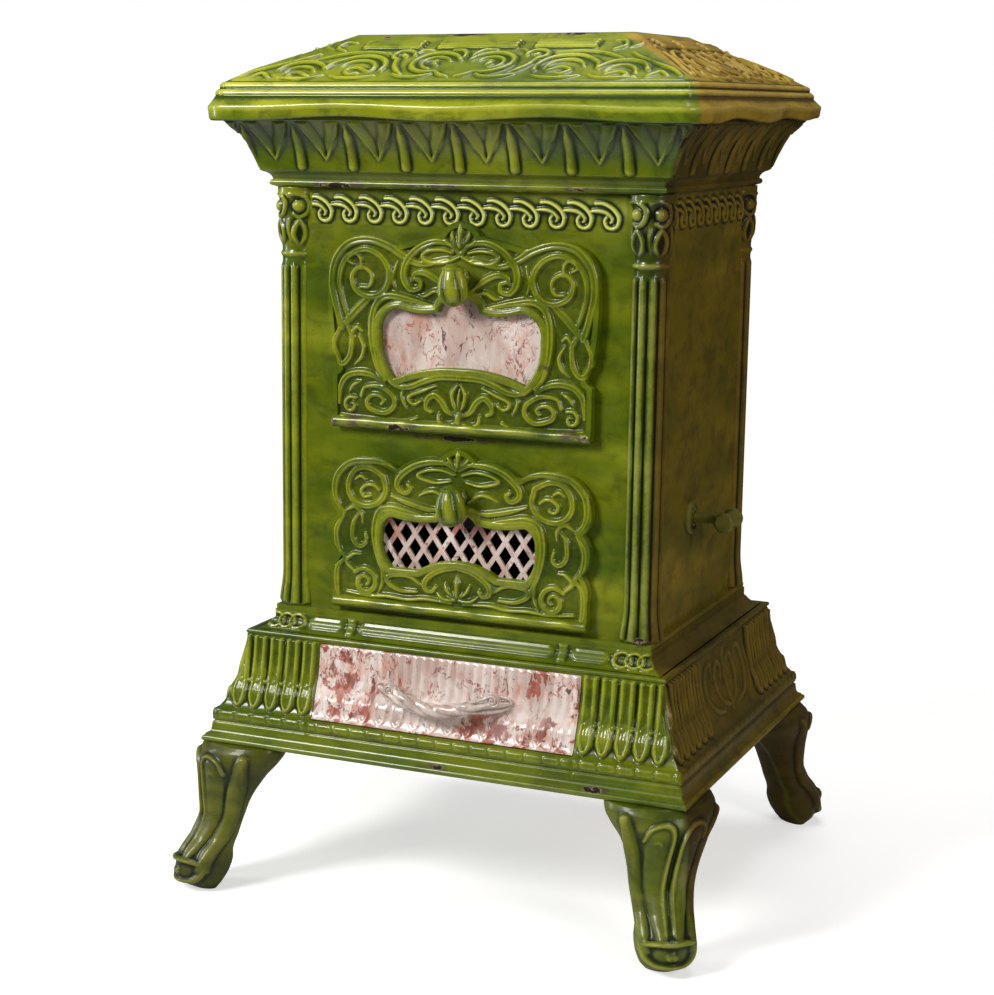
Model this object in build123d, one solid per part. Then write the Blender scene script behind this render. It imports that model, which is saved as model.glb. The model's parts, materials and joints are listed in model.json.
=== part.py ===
from build123d import *
import math
import os

# Cast-iron room stove on four cabriole legs. Millimetres, +Z up, front towards -Y.
# Origin: middle of the footprint, on the floor.

# ---- reference rectangle of the body, and heights from the floor up ----
body_half_x = 195.0
body_half_y = 150.0
leg_height = 145.0
base_plate_thickness = 6.0
plinth_height = 125.0
sole_thickness = 5.0
body_height = 416.0
cornice_height = 66.5
lid_seat_gap = 0.3
lid_height = 78.0

base_bottom = leg_height
base_top = base_bottom + base_plate_thickness
plinth_top = base_top + plinth_height
sole_top = plinth_top + sole_thickness
body_top = sole_top + body_height
cornice_top = body_top + cornice_height
lid_bottom = cornice_top + lid_seat_gap

# ---- castings and sheet ----
casting_wall = 5.0
plate_thickness = 5.0
fit_gap = 0.4
running_gap = 0.06

# ---- overhangs of the mouldings beyond the reference rectangle ----
flange_overhang = 60.0
foot_overhang = 53.0
plinth_reach = 80.0
toe_turn = 13.0
foot_bolt_x = body_half_x + 26.0
foot_bolt_y = body_half_y + 26.0
foot_bolt_radius = 4.0
foot_bolt_depth = 34.0
ledge_overhang = 24.0
sole_overhang = 3.0
sole_hole_half_y = body_half_y - 22.0
rim_overhang = 56.5
cornice_overhang = 40.0
cornice_foot_overhang = 4.0

# ---- gadroon ribs on the plinth ----
rib_pitch = 13.5
rib_radius = 4.8
rib_sink = 2.2
rib_bottom = base_top + 62.0
rib_top = plinth_top - 31.0
front_rib_x = 147.5
front_ribs = 1 + int((body_half_x + ledge_overhang - front_rib_x) / rib_pitch)
side_ribs = 6
side_rib_offset = 15.0

# ---- corner columns ----
column_x = body_half_x - 14.0
column_y = body_half_y - 17.5
column_radius = 16.5
column_foot_radius = 20.0
column_cap_radius = 21.0
column_capital_height = 66.0
column_foot_height = 44.0
flute_count = 10
flute_radius = 3.4
groove_depth = 5.0
tie_rod_radius = 4.0
tie_rod_gap = 0.5
nut_radius = 7.5
nut_height = 6.0

# ---- plates between the columns ----
front_face_y = -body_half_y + 6.0
side_face_x = body_half_x - 3.0
back_face_y = body_half_y - 6.0

# ---- doors ----
door_gap = 0.6
door_half_x = 134.0
door_thickness = 6.0
door_bead_radius = 6.0
door_relief = 4.4
door_rib_width = 5.0
door_rebate_depth = 4.0
door_rebate_wall = 4.0
door_rebate_margin = 1.6
lower_door_bottom = sole_top + 4.6
lower_door_height = 167.0
drawn_lower_height = 167.0
upper_door_bottom = lower_door_bottom + lower_door_height + 13.4
upper_door_height = body_top - 29.0 - upper_door_bottom
drawn_upper_height = 202.0
door_pin_radius = 2.0
door_eye_radius = 3.5
door_lug_x = 100.0
door_lug_width = 10.0
door_pin_length = 34.0
opening_half_x = 118.0
upper_opening = (upper_door_bottom + 18.0, upper_door_bottom + upper_door_height - 28.0)
lower_opening = (lower_door_bottom + 17.4, lower_door_bottom + lower_door_height - 26.6)
insert_thickness = 2.6
insert_margin = 3.5
pull_radius = 12.5
pull_height = 42.0
pull_standoff = 19.0
pull_stem_radius = 6.0
upper_pull_rise = upper_door_height - 58.0
lower_pull_rise = lower_door_height - 52.0
catch_width = 24.0
catch_thickness = 1.6
catch_reach = 9.0
door_screw_radius = 3.0
door_screw_x = 102.0
upper_screw_rise = 0.386 * upper_door_height

# ---- lattice behind the lower door's window ----
lattice_pitch_x = 19.0
lattice_pitch_z = 28.0
lattice_bar = 4.6
lattice_span = 240.0

# ---- ash drawer ----
drawer_half_x = 138.5
drawer_bottom = base_top + 27.0
drawer_top = plinth_top - 24.5
drawer_gap = 0.8
boss_x = 90.0
boss_radius = 6.0
boss_reach = 32.0
tray_half_x = 128.0
tray_depth = 2 * body_half_y - 20.0
tray_height = 64.0
tray_sheet = 1.5
tray_lift = 4.0
handle_half_span = 56.0
handle_radius = 5.2
handle_reach = 27.0
handle_drop = 11.0
handle_height = drawer_bottom + 38.0
handle_screw_radius = 3.0
runner_width = 12.0
runner_web = 3.0

# ---- inside the firebox ----
grate_y = -28.0
grate_z = lower_opening[0] + 79.0
grate_half_x = body_half_x - 57.0
grate_half_y = 66.0
grate_thickness = 8.0
grate_slot = 9.0
grate_pitch = 19.0
grate_clearance = 3.5
grate_frame_depth = 20.0
grate_frame_plate = 6.0
shaft_radius = 6.0
bearing_radius = 11.0
brick_thickness = 30.0
brick_height = 200.0
front_brick_height = 84.0
brick_clearance = 5.0
ledge_width = 10.0
ledge_height = 8.0

# ---- shaker handle on the right-hand plate ----
escutcheon_radius = 17.0
escutcheon_depth = 6.0
spindle_length = 20.0
spindle_radius = 5.6
spindle_tip_radius = 4.4
collar_radius = 7.0
collar_length = 6.0
knob_length = 38.0
knob_radius = 10.0
knob_waist_radius = 6.2

# ---- flue ----
flue_height = body_top - 97.0
flue_radius = 56.0
flue_wall = 4.5
flue_stop = 4.0
flue_length = 50.0
flue_flange_radius = 78.0
flue_flange_thickness = 5.0
flue_bolt_circle = 69.0
flue_bolt_radius = 3.0

# ---- top ----
hot_plate_thickness = 6.0
plug_radius = 62.0
plug_lip = 6.0
plug_thickness = 6.0
plateau_half_x = body_half_x - 53.0
plateau_half_y = body_half_y - 68.0
rim_chamfer = 17.0
lid_wall = 5.0
lid_hinge_x = 120.0
lid_hinge_z = lid_bottom + 5.2
lid_eye_radius = 6.0
lid_pin_radius = 3.0
lid_ear_width = 10.0
lid_ear_gap = 0.5
lid_leaf_cheek = 7.0
lid_leaf_bridge = 4.5
lid_hinge_y = body_half_y + rim_overhang + lid_eye_radius + 1.5

# ---- bars and scrolls on the lid's slopes, drawn for the front slope ----
slope_overhang = 40.0
slope_foot = lid_bottom + 32.0
slope_rise = lid_bottom + lid_height - slope_foot
drawn_slope_half = 195.0
drawn_slope_length = 117.4
scroll_width = 4.2
scroll_height = 1.5
scroll_sink = 1.4


def block(x0, x1, y0, y1, z0, z1):
    """Box between two opposite corners."""
    middle = Pos((x0 + x1) / 2, (y0 + y1) / 2, (z0 + z1) / 2)
    return middle * Box(x1 - x0, y1 - y0, z1 - z0)


def rod_x(radius, x0, x1, y, z):
    """Cylinder along X."""
    return Pos((x0 + x1) / 2, y, z) * Rot(0, 90, 0) * Cylinder(radius, x1 - x0)


def rod_y(radius, x, y0, y1, z):
    """Cylinder along Y."""
    return Pos(x, (y0 + y1) / 2, z) * Rot(90, 0, 0) * Cylinder(radius, y1 - y0)


def rod_z(radius, x, y, z0, z1):
    """Cylinder along Z."""
    return Pos(x, y, (z0 + z1) / 2) * Cylinder(radius, z1 - z0)


def corners(x, y):
    """The four corners of a rectangle, front left first."""
    return [(sx * x, sy * y) for sy in (-1, 1) for sx in (-1, 1)]


def mirrored_face(edges):
    """Face between a right-hand chain of edges and its mirror image."""
    right = Wire(edges)
    left = right.mirror(Plane.YZ)
    top = Line(right @ 1, left @ 1)
    bottom = Line(left @ 0, right @ 0)
    return Face(Wire([*right.edges(), top, *left.edges(), bottom]))


def mitred(side, inset=0.0, reach=300.0):
    """Solid whose four sides carry one moulding, mitred at the corners.

    side(half) gives the moulding's edges, bottom to top, half beyond the middle.
    """
    across = Plane.XZ * mirrored_face(side(body_half_x - inset))
    along = Plane.YZ * mirrored_face(side(body_half_y - inset))
    return extrude(across, reach, both=True) & extrude(along, reach, both=True)


def save(node, shape):
    """One STEP file for one named piece."""
    export_step(shape, f"parts/{node}.step")


# ---------------------------------------------------------------- legs and base
def leg_section(middle, along, across, turn, height):
    """Egg-shaped section of a leg, wide on the side that faces the stove.

    middle, along and across lie on the leg's own axis, turned from the diagonal.
    """
    points = []
    for step in range(0, 360, 30):
        angle = math.radians(step)
        points.append((middle + along * math.cos(angle),
                       across * math.sin(angle) * (1 - 0.22 * math.cos(angle))))
    outline = Spline(*points, periodic=True)
    return Plane((0, 0, height)) * Rot(0, 0, turn) * Face(Wire([outline]))


def leg():
    """Cabriole leg of the back right corner, with its toe turned out."""
    stations = (
        # middle, half along, half across, turn share, height share
        (92.0, 12.0, 18.0, 1.0, 0.0),
        (95.0, 21.0, 23.5, 1.0, 0.045),
        (94.5, 28.0, 27.0, 1.0, 0.115),
        (92.0, 30.5, 28.0, 1.0, 0.195),
        (88.0, 27.5, 26.5, 1.0, 0.275),
        (78.0, 24.0, 25.5, 0.95, 0.37),
        (69.0, 21.5, 27.5, 0.9, 0.5),
        (63.0, 26.0, 31.5, 0.75, 0.635),
        (54.0, 34.0, 40.0, 0.5, 0.775),
        (45.0, 42.0, 51.0, 0.2, 0.89),
        (40.0, 43.5, 54.5, 0.0, 0.955),
        (36.0, 41.0, 53.0, 0.0, 1.0),
    )
    sections = [leg_section(middle, along, across, 45.0 + share * toe_turn, height * leg_height)
                for middle, along, across, share, height in stations]
    return Pos(body_half_x, body_half_y, 0) * loft(sections)


def place_leg(shape, sx, sy):
    """The leg mirrored to its own corner."""
    if sx < 0:
        shape = shape.mirror(Plane.YZ)
    if sy < 0:
        shape = shape.mirror(Plane.XZ)
    return shape


def foot_bolt_hole(x, y):
    """Room for a foot bolt, from inside the leg up through the base plate."""
    return rod_z(foot_bolt_radius + fit_gap / 2, x, y, base_bottom - foot_bolt_depth, base_top)


def foot_bolts():
    """Bolts with square heads that stand in the legs."""
    bolts = []
    for x, y in corners(foot_bolt_x, foot_bolt_y):
        bolts.append(rod_z(foot_bolt_radius, x, y, base_bottom - foot_bolt_depth,
                           base_top + nut_height + 3.0))
    return Compound(children=bolts)


def nuts(points, bottom, bore):
    """Hexagon nuts with their lower faces at one height."""
    rings = []
    for x, y in points:
        blank = extrude(Plane((x, y, bottom)) * RegularPolygon(nut_radius, 6), nut_height)
        rings.append(blank - rod_z(bore, x, y, bottom - 1, bottom + nut_height + 1))
    return rings


def base_edge(half):
    """Rounded edge of the base plate."""
    reach = half + flange_overhang
    z0, z1 = base_bottom, base_top
    return [
        Line((reach - 1.5, z0), (reach, z0 + 1.5)),
        Line((reach, z0 + 1.5), (reach, z0 + 3.5)),
        ThreePointArc((reach, z0 + 3.5), (reach - 1.0, z1 - 0.8), (reach - 3.5, z1)),
    ]


def base_plate():
    """Closed plate that the plinth stands on."""
    plate = mitred(base_edge)
    for x, y in corners(foot_bolt_x, foot_bolt_y):
        plate -= foot_bolt_hole(x, y)
    for x, y in corners(column_x, column_y):
        plate -= rod_z(tie_rod_radius + tie_rod_gap, x, y, base_bottom - 1, base_top + 1)
    return plate


# ---------------------------------------------------------------- plinth
def plinth_edge(half):
    """Outline of the plinth: foot band, brick course, ogee skirt, ledge and top step."""
    foot = half + foot_overhang
    ledge = half + ledge_overhang
    step = half + sole_overhang + 1.0
    z0 = base_top
    course = z0 + 16.0
    skirt = z0 + 26.5
    ledge_bottom = plinth_top - 23.0
    return [
        Line((foot + 4.0, z0), (foot + 4.0, z0 + 1.5)),
        ThreePointArc((foot + 4.0, z0 + 1.5), (foot + 1.0, z0 + 3.0), (foot - 0.5, z0 + 5.5)),
        Line((foot - 0.5, z0 + 5.5), (foot - 1.5, z0 + 13.0)),
        ThreePointArc((foot - 1.5, z0 + 13.0), (foot - 3.0, z0 + 14.5), (foot - 1.5, course)),
        Line((foot - 1.5, course), (foot - 2.5, skirt)),
        Spline((foot - 4.5, skirt), (half + 38.0, skirt + 17.0), (half + 29.5, skirt + 40.0),
               (ledge, ledge_bottom), tangents=((-1.0, 0.35), (-0.1, 1.0))),
        Line((foot - 2.5, skirt), (foot - 4.5, skirt)),
        ThreePointArc((ledge, ledge_bottom), (ledge + 1.8, ledge_bottom + 2.0),
                      (ledge - 1.0, ledge_bottom + 4.5)),
        ThreePointArc((ledge - 1.0, ledge_bottom + 4.5), (step + 6.0, plinth_top - 15.0),
                      (step + 2.0, plinth_top - 10.0)),
        Line((step + 2.0, plinth_top - 10.0), (step, plinth_top - 8.0)),
        Line((step, plinth_top - 8.0), (step, plinth_top)),
    ]


def plinth_shell():
    """The whole plinth as one open-ended ring."""
    outer = mitred(plinth_edge)
    inner = mitred(plinth_edge, inset=casting_wall)
    return outer - inner


def wall_face_y(z):
    """Where the front face of the plinth lies at a height."""
    probe = plinth_core & rod_y(1.0, 0, -body_half_y - plinth_reach, 0, z)
    return probe.bounding_box().min.Y


def gadroon(x, foot_y, head_y):
    """Round-ended rib half sunk in the front face."""
    foot, head = Vector(x, foot_y, rib_bottom), Vector(x, head_y, rib_top)
    length = (head - foot).length
    rod = Plane(foot, z_dir=head - foot) * Pos(0, 0, length / 2) * Cylinder(rib_radius, length)
    ends = [Pos(*point) * Sphere(rib_radius) for point in (foot, head)]
    return rod + ends


def gadroons(first_x, count, depth):
    """Two mirrored groups of ribs on a side whose middle lies depth from the stove's."""
    shift = depth - body_half_y
    foot_y = wall_face_y(rib_bottom) + rib_sink - shift
    head_y = wall_face_y(rib_top) + rib_sink - shift
    ribs = []
    for index in range(count):
        x = first_x + index * rib_pitch
        ribs += [gadroon(x, foot_y, head_y), gadroon(-x, foot_y, head_y)]
    return ribs


def all_gadroons():
    """Ribs of the four sides, cut off at the face of the plinth's wall."""
    front = gadroons(front_rib_x, front_ribs, body_half_y)
    side_first = body_half_y + side_rib_offset - (side_ribs - 1) * rib_pitch
    flank = gadroons(side_first, side_ribs, body_half_x)
    placed = [*front, *[Rot(0, 0, 180) * rib for rib in front],
              *[Rot(0, 0, 90) * rib for rib in flank], *[Rot(0, 0, -90) * rib for rib in flank]]
    core = mitred(plinth_edge, inset=1.0)
    return [rib - core for rib in placed]


def plinth_side(shell, sx, sy):
    """One of the plinth's four castings, cut out of the ring at the mitres."""
    near = body_half_x if sx else body_half_y
    reach = near + foot_overhang + 5.0
    aside = reach + (body_half_y - body_half_x if sx else body_half_x - body_half_y)
    inner = 40.0
    offset = reach - inner
    wedge = Polyline((reach, aside), (inner, aside - offset), (inner, offset - aside),
                     (reach, -aside), close=True)
    heading = 0.0 if sx > 0 else 180.0 if sx < 0 else 90.0 if sy > 0 else -90.0
    cutter = extrude(Plane((0, 0, base_top)) * Rot(0, 0, heading) * Face(Wire(wedge.edges())),
                     plinth_height)
    return shell & cutter


def plinth_front(shell):
    """Front casting with the ash drawer's mouth and the seat of the centre strip."""
    front = plinth_side(shell, 0, -1)
    mouth = block(-drawer_half_x, drawer_half_x, -body_half_y - plinth_reach, 0,
                  drawer_bottom, drawer_top)
    seat = block(-strip_half_x, strip_half_x, -body_half_y - plinth_reach, -body_half_y + 2.0,
                 strip_bottom, plinth_top)
    return front - mouth - seat


strip_half_x = drawer_half_x - 29.5
strip_bottom = plinth_top - 16.0
strip_gap = 0.3


def centre_strip(shell):
    """Separate strip let into the top step under the ash door."""
    room = block(-strip_half_x + strip_gap, strip_half_x - strip_gap,
                 -body_half_y - plinth_reach, -body_half_y + 2.0 - strip_gap, strip_bottom, plinth_top)
    return shell & room


def sole_plate():
    """Frame between plinth and body, open in the middle for the falling ash."""
    half_x, half_y = body_half_x + sole_overhang, body_half_y + sole_overhang
    plate = block(-half_x, half_x, -half_y, half_y, plinth_top, sole_top)
    plate -= block(-tray_half_x, tray_half_x, -sole_hole_half_y, sole_hole_half_y,
                   plinth_top - 1, sole_top + 1)
    for x, y in corners(column_x, column_y):
        plate -= rod_z(tie_rod_radius + tie_rod_gap, x, y, plinth_top - 1, sole_top + 1)
    return plate


# ---------------------------------------------------------------- columns
def column():
    """Fluted three-quarter column on its own axis, with foot and capital."""
    r = column_radius
    foot_top = sole_top + column_foot_height
    neck = body_top - column_capital_height
    outline = [
        Line((0, sole_top), (column_foot_radius, sole_top)),
        Line((column_foot_radius, sole_top), (column_foot_radius, sole_top + 3.0)),
        ThreePointArc((column_foot_radius, sole_top + 3.0), (r + 0.8, sole_top + 16.0),
                      (r, foot_top)),
        Line((r, foot_top), (r, neck)),
        ThreePointArc((r, neck), (r + 2.2, neck + 2.5), (r, neck + 5.0)),
        ThreePointArc((r, neck + 5.0), (r + 1.0, neck + 30.0), (column_cap_radius, body_top - 8.0)),
        Line((column_cap_radius, body_top - 8.0), (column_cap_radius, body_top)),
        Line((column_cap_radius, body_top), (0, body_top)),
        Line((0, body_top), (0, sole_top)),
    ]
    turned = revolve(Plane.XZ * Face(Wire(outline)), Axis.Z)
    flute_bottom = foot_top - 14.0
    flute_top = neck - 8.0
    for index in range(flute_count):
        angle = (index + 0.5) * 360.0 / flute_count
        at = Rot(0, 0, angle) * Pos(r + 1.3, 0, 0)
        groove = at * rod_z(flute_radius, 0, 0, flute_bottom, flute_top)
        turned -= groove + at * Pos(0, 0, flute_top) * Sphere(flute_radius)
    return turned


def place_column(shape, sx, sy):
    """Column at its corner, grooved for the two plates that meet there and bored."""
    post = Pos(sx * column_x, sy * column_y, 0) * shape
    face_y = back_face_y if sy > 0 else -front_face_y
    groove = fit_gap / 2
    inner_x = column_x - column_radius + groove_depth
    inner_y = column_y - column_radius + groove_depth
    for_front = block(inner_x - 40, inner_x, face_y - plate_thickness - groove, face_y + groove,
                      sole_top - 1, body_top + 1)
    for_side = block(side_face_x - plate_thickness - groove, side_face_x + groove,
                     inner_y - 40, inner_y, sole_top - 1, body_top + 1)
    grooves = for_front + for_side
    if sx < 0:
        grooves = grooves.mirror(Plane.YZ)
    if sy < 0:
        grooves = grooves.mirror(Plane.XZ)
    bore = rod_z(tie_rod_radius + tie_rod_gap, sx * column_x, sy * column_y,
                 sole_top - 1, body_top + 1)
    return post - grooves - bore


tie_rod_top = body_top + hot_plate_thickness + nut_height + 3.0
tie_rod_bottom = base_bottom - nut_height - 3.0


def tie_rods():
    """Rods that clamp base, columns and hot plate together."""
    rods = [rod_z(tie_rod_radius, x, y, tie_rod_bottom, tie_rod_top)
            for x, y in corners(column_x, column_y)]
    return Compound(children=rods)


def tie_rod_nuts():
    """Nuts under the base plate and on the hot plate."""
    points = corners(column_x, column_y)
    lower = nuts(points, base_bottom - nut_height, tie_rod_radius)
    upper = nuts(points, body_top + hot_plate_thickness, tie_rod_radius)
    return Compound(children=[*lower, *upper])


# ---------------------------------------------------------------- plates
plate_end_x = column_x - column_radius + groove_depth - fit_gap
plate_end_y = column_y - column_radius + groove_depth - fit_gap


def front_plate():
    """Front plate with two door openings and the lugs of the door hinges."""
    plate = block(-plate_end_x, plate_end_x, front_face_y, front_face_y + plate_thickness,
                  sole_top, body_top)
    for bottom, top in (upper_opening, lower_opening):
        plate -= block(-opening_half_x, opening_half_x, front_face_y - 1,
                       front_face_y + plate_thickness + 1, bottom, top)
    for door_bottom in (upper_door_bottom, lower_door_bottom):
        for side in (-1, 1):
            plate += hinge_lug(side, door_bottom)
    return plate


def hinge_axis(door_bottom):
    """Y and Z of a door's hinge axis, in the middle of its rolled lower edge."""
    return front_face_y - door_gap - door_bead_radius, door_bottom + door_bead_radius


def hinge_lug(side, door_bottom):
    """Eye on the front plate that a door's pin turns in."""
    y, z = hinge_axis(door_bottom)
    x0 = side * door_lug_x - door_lug_width / 2
    x1 = side * door_lug_x + door_lug_width / 2
    lug = rod_x(door_eye_radius, x0, x1, y, z)
    lug += block(x0, x1, y, front_face_y, z - door_eye_radius, z + door_eye_radius)
    return lug - rod_x(door_pin_radius + running_gap, x0 - 1, x1 + 1, y, z)


def side_plate(side):
    """Side plate with an inner ledge that carries the grate frame."""
    outer, inner = side_face_x, side_face_x - plate_thickness
    plate = block(inner, outer, -plate_end_y, plate_end_y, sole_top, body_top)
    ledge_top = grate_z + grate_frame_depth / 2 - grate_frame_depth
    plate += block(inner - ledge_width, inner, grate_y - grate_half_y, -grate_y + grate_half_y,
                   ledge_top - ledge_height, ledge_top)
    if side < 0:
        return plate.mirror(Plane.YZ)
    return plate - rod_x(shaft_radius + 1.5, inner - 1, outer + 1, grate_y, grate_z)


def back_plate():
    """Back plate with the smoke outlet."""
    plate = block(-plate_end_x, plate_end_x, back_face_y - plate_thickness, back_face_y,
                  sole_top, body_top)
    plate -= rod_y(flue_radius - flue_stop, 0, back_face_y - 20, back_face_y + 20, flue_height)
    for x, z in flue_bolt_points():
        plate -= rod_y(flue_bolt_radius + 0.2, x, back_face_y - 20, back_face_y + 20, z)
    return plate


def flue_bolt_points():
    """X and Z of the four bolts of the smoke outlet."""
    step = flue_bolt_circle / math.sqrt(2)
    return [(sx * step, flue_height + sz * step) for sx in (-1, 1) for sz in (-1, 1)]


def flue_collar():
    """Socket for the smoke pipe, with a beaded mouth."""
    y0, y1 = back_face_y, back_face_y + flue_length
    collar = rod_y(flue_radius + flue_wall, 0, y0, y1, flue_height)
    collar += rod_y(flue_radius + flue_wall + 2.5, 0, y1 - 6.0, y1, flue_height)
    return collar - rod_y(flue_radius, 0, y0 - 1, y1 + 1, flue_height)


def flue_flange():
    """Ring that holds the socket to the back plate."""
    y0, y1 = back_face_y, back_face_y + flue_flange_thickness
    ring = rod_y(flue_flange_radius, 0, y0, y1, flue_height)
    ring -= rod_y(flue_radius + flue_wall, 0, y0 - 1, y1 + 1, flue_height)
    for x, z in flue_bolt_points():
        ring -= rod_y(flue_bolt_radius + 0.2, x, y0 - 1, y1 + 1, z)
    return ring


def flue_bolts():
    """Round-headed bolts through flange and back plate."""
    y0 = back_face_y
    bolts = []
    for x, z in flue_bolt_points():
        seat = y0 + flue_flange_thickness
        bolt = rod_y(flue_bolt_radius, x, y0 - plate_thickness - 2, seat, z)
        bolts.append(bolt + rod_y(flue_bolt_radius + 2.5, x, seat, seat + 3.5, z))
    return Compound(children=bolts)


# ---------------------------------------------------------------- doors
def arc_chain(points):
    """Arcs and lines through a chain of (end,) or (middle, end) steps."""
    edges = []
    start = points[0]
    for step in points[1:]:
        if len(step) == 1:
            edges.append(Line(start, step[0]))
        else:
            edges.append(ThreePointArc(start, step[0], step[1]))
        start = step[-1]
    return edges


def fitted(points, drawn_height, height):
    """A door's chain of points drawn for one height, fitted above the rolled edge to another."""
    ratio = (height - door_bead_radius) / (drawn_height - door_bead_radius)
    foot = door_bead_radius
    chain = [(points[0][0], foot + (points[0][1] - foot) * ratio)]
    for step in points[1:]:
        chain.append(tuple((x, foot + (z - foot) * ratio) for x, z in step))
    return chain


def raise_by(points, rise):
    """The same chain of points, moved up."""
    moved = [(points[0][0], points[0][1] + rise)]
    for step in points[1:]:
        moved.append(tuple((x, z + rise) for x, z in step))
    return moved


upper_door_outline = fitted([
    (0, 202),
    ((12, 198), (20, 189)),
    ((44, 184), (66, 178)),
    ((82, 184), (99, 186)),
    ((128, 176), (door_half_x + 4, 150)),
    ((door_half_x + 4.5, 110), (door_half_x, 74)),
    ((door_half_x - 5, 66), (door_half_x - 6, 58)),
    ((door_half_x, 54),),
    ((door_half_x, door_bead_radius),),
], drawn_upper_height, upper_door_height)
upper_window_outline = fitted([
    (0, 131),
    ((16, 127), (21, 117)),
    ((40, 115), (62, 119)),
    ((78, 112), (83, 94)),
    ((80, 70), (68, 51)),
    ((36, 61), (0, 64)),
], drawn_upper_height, upper_door_height)
lower_door_outline = fitted([
    (0, 167),
    ((11, 163), (19, 156)),
    ((42, 155), (63, 143)),
    ((79, 150), (97, 151.5)),
    ((126, 142), (door_half_x + 2, 118)),
    ((door_half_x + 1, 104), (door_half_x - 6, 95)),
    ((door_half_x + 2, 76), (door_half_x - 6, 56)),
    ((door_half_x, 44), (door_half_x, 30)),
    ((door_half_x, door_bead_radius),),
], drawn_lower_height, lower_door_height)
lower_window_outline = fitted([
    (0, 106),
    ((13, 102), (20, 95)),
    ((45, 93), (70, 96)),
    ((78, 90), (81, 78)),
    ((80, 60), (71, 45)),
    ((42, 45),),
    ((22, 54), (0, 57)),
], drawn_lower_height, lower_door_height)


def outline_face(points, rise):
    """Symmetric face from half an outline that starts and ends on the middle or an edge."""
    edges = arc_chain(raise_by(points, rise))
    right = Wire(edges)
    left = right.mirror(Plane.YZ)
    chain = [*right.edges(), *left.edges()]
    if (right @ 1).X > 1:
        chain.append(Line(right @ 1, left @ 1))
    return Face(Wire(chain))


def panel(face, y_back, thickness):
    """Plate with the outline of a face, its back at y_back, built towards the front."""
    upright = Plane((0, y_back, 0), x_dir=(1, 0, 0), z_dir=(0, -1, 0)) * face
    return extrude(upright, thickness, dir=(0, -1, 0))


def door_body(outline, window, bottom, opening):
    """Door casting: outline, window, raised borders, rolled hinge edge and rebate."""
    back = front_face_y - door_gap
    face = outline_face(outline, bottom)
    hole = outline_face(window, bottom)
    rim = offset(hole, door_rib_width)
    door = panel(face, back, door_thickness)
    door += panel(rim, back, door_thickness + door_relief)
    inner = offset(face, -door_rib_width)
    door += panel(face - inner, back, door_thickness + door_relief - 1.2)
    y, z = hinge_axis(bottom)
    door += rod_x(door_bead_radius, -door_half_x, door_half_x, y, z)
    z0, z1 = opening
    margin, wall = door_rebate_margin, door_rebate_wall
    half = opening_half_x - margin
    rebate = block(-half, half, back, back + door_rebate_depth, z0 + margin, z1 - margin)
    rebate -= block(-half + wall, half - wall, back - 1, back + door_rebate_depth + 1,
                    z0 + margin + wall, z1 - margin - wall)
    door += rebate
    door -= panel(hole, back + 10, 40)
    door -= panel(offset(hole, insert_margin), back + 1, insert_thickness + 1)
    for side in (-1, 1):
        door -= hinge_notch(side, bottom)
        door -= rod_x(door_pin_radius, side * door_lug_x - door_pin_length / 2,
                      side * door_lug_x + door_pin_length / 2, y, z)
    return door


def hinge_notch(side, bottom):
    """Pocket in the rolled edge, open behind and below, that takes a hinge lug."""
    y, z = hinge_axis(bottom)
    half = door_lug_width / 2 + 1.0
    x = side * door_lug_x
    room = door_eye_radius + 0.5
    return block(x - half, x + half, y - room, front_face_y + 1, bottom - 1, z + room)


def window_sheet(window, bottom):
    """Sheet that fills a window from behind, let into the door's back."""
    back = front_face_y - door_gap
    face = offset(outline_face(window, bottom), insert_margin - fit_gap)
    return panel(face, back, insert_thickness)


def window_lattice(window, bottom):
    """Lattice of crossing bars inside a thin rim, let into the door's back."""
    back = front_face_y - door_gap
    hole = outline_face(window, bottom)
    rim = offset(hole, insert_margin - fit_gap)
    lean = math.degrees(math.atan2(lattice_pitch_z, lattice_pitch_x))
    step = lattice_pitch_x * math.sin(math.radians(lean))
    middle = bottom + 80.0
    bars = Sketch()
    for tilt in (lean, -lean):
        for index in range(-9, 10):
            bars += (Pos(0, middle) * Rot(0, 0, tilt) * Pos(0, (index + 0.5) * step)
                     * Rectangle(lattice_span, lattice_bar))
    inner = offset(hole, -0.5)
    grille = (bars & rim) + (rim - inner)
    return panel(grille.faces()[0], back, insert_thickness)


def hinge_pins(bottom):
    """The two pins of one door."""
    y, z = hinge_axis(bottom)
    half = door_pin_length / 2
    pins = [rod_x(door_pin_radius, side * door_lug_x - half, side * door_lug_x + half, y, z)
            for side in (-1, 1)]
    return Compound(children=pins)


def door_pull(bottom, rise):
    """Bud-shaped pull on a short stem."""
    z = bottom + rise
    face_y = front_face_y - door_gap - door_thickness
    y = face_y - pull_standoff
    half = pull_height / 2
    r = pull_radius
    tip = half * 0.86
    outline = [
        Line((0, -half), (1.5, -half)),
        ThreePointArc((1.5, -half), (r * 0.78, -half * 0.7), (r, -half * 0.15)),
        ThreePointArc((r, -half * 0.15), (r * 0.8, half * 0.45), (r * 0.4, tip)),
        Line((r * 0.4, tip), (0, tip)),
        Line((0, tip), (0, -half)),
    ]
    bud = revolve(Plane.XZ * Face(Wire(outline)), Axis.Z)
    stem = rod_y(pull_stem_radius, 0, y, face_y, z + 6.0)
    return Pos(0, y, z) * bud + stem


def door_catch(top):
    """Flat spring under the rebate's top, with an upturned lip behind the plate."""
    seat = top - door_rebate_margin - door_rebate_wall
    y0 = front_face_y - door_gap
    y1 = front_face_y + plate_thickness + catch_reach
    half = catch_width / 2
    leaf = block(-half, half, y0, y1, seat - catch_thickness, seat)
    lip = block(-half, half, y1 - catch_thickness, y1, seat - catch_thickness,
                top - door_rebate_margin)
    return leaf + lip


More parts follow.
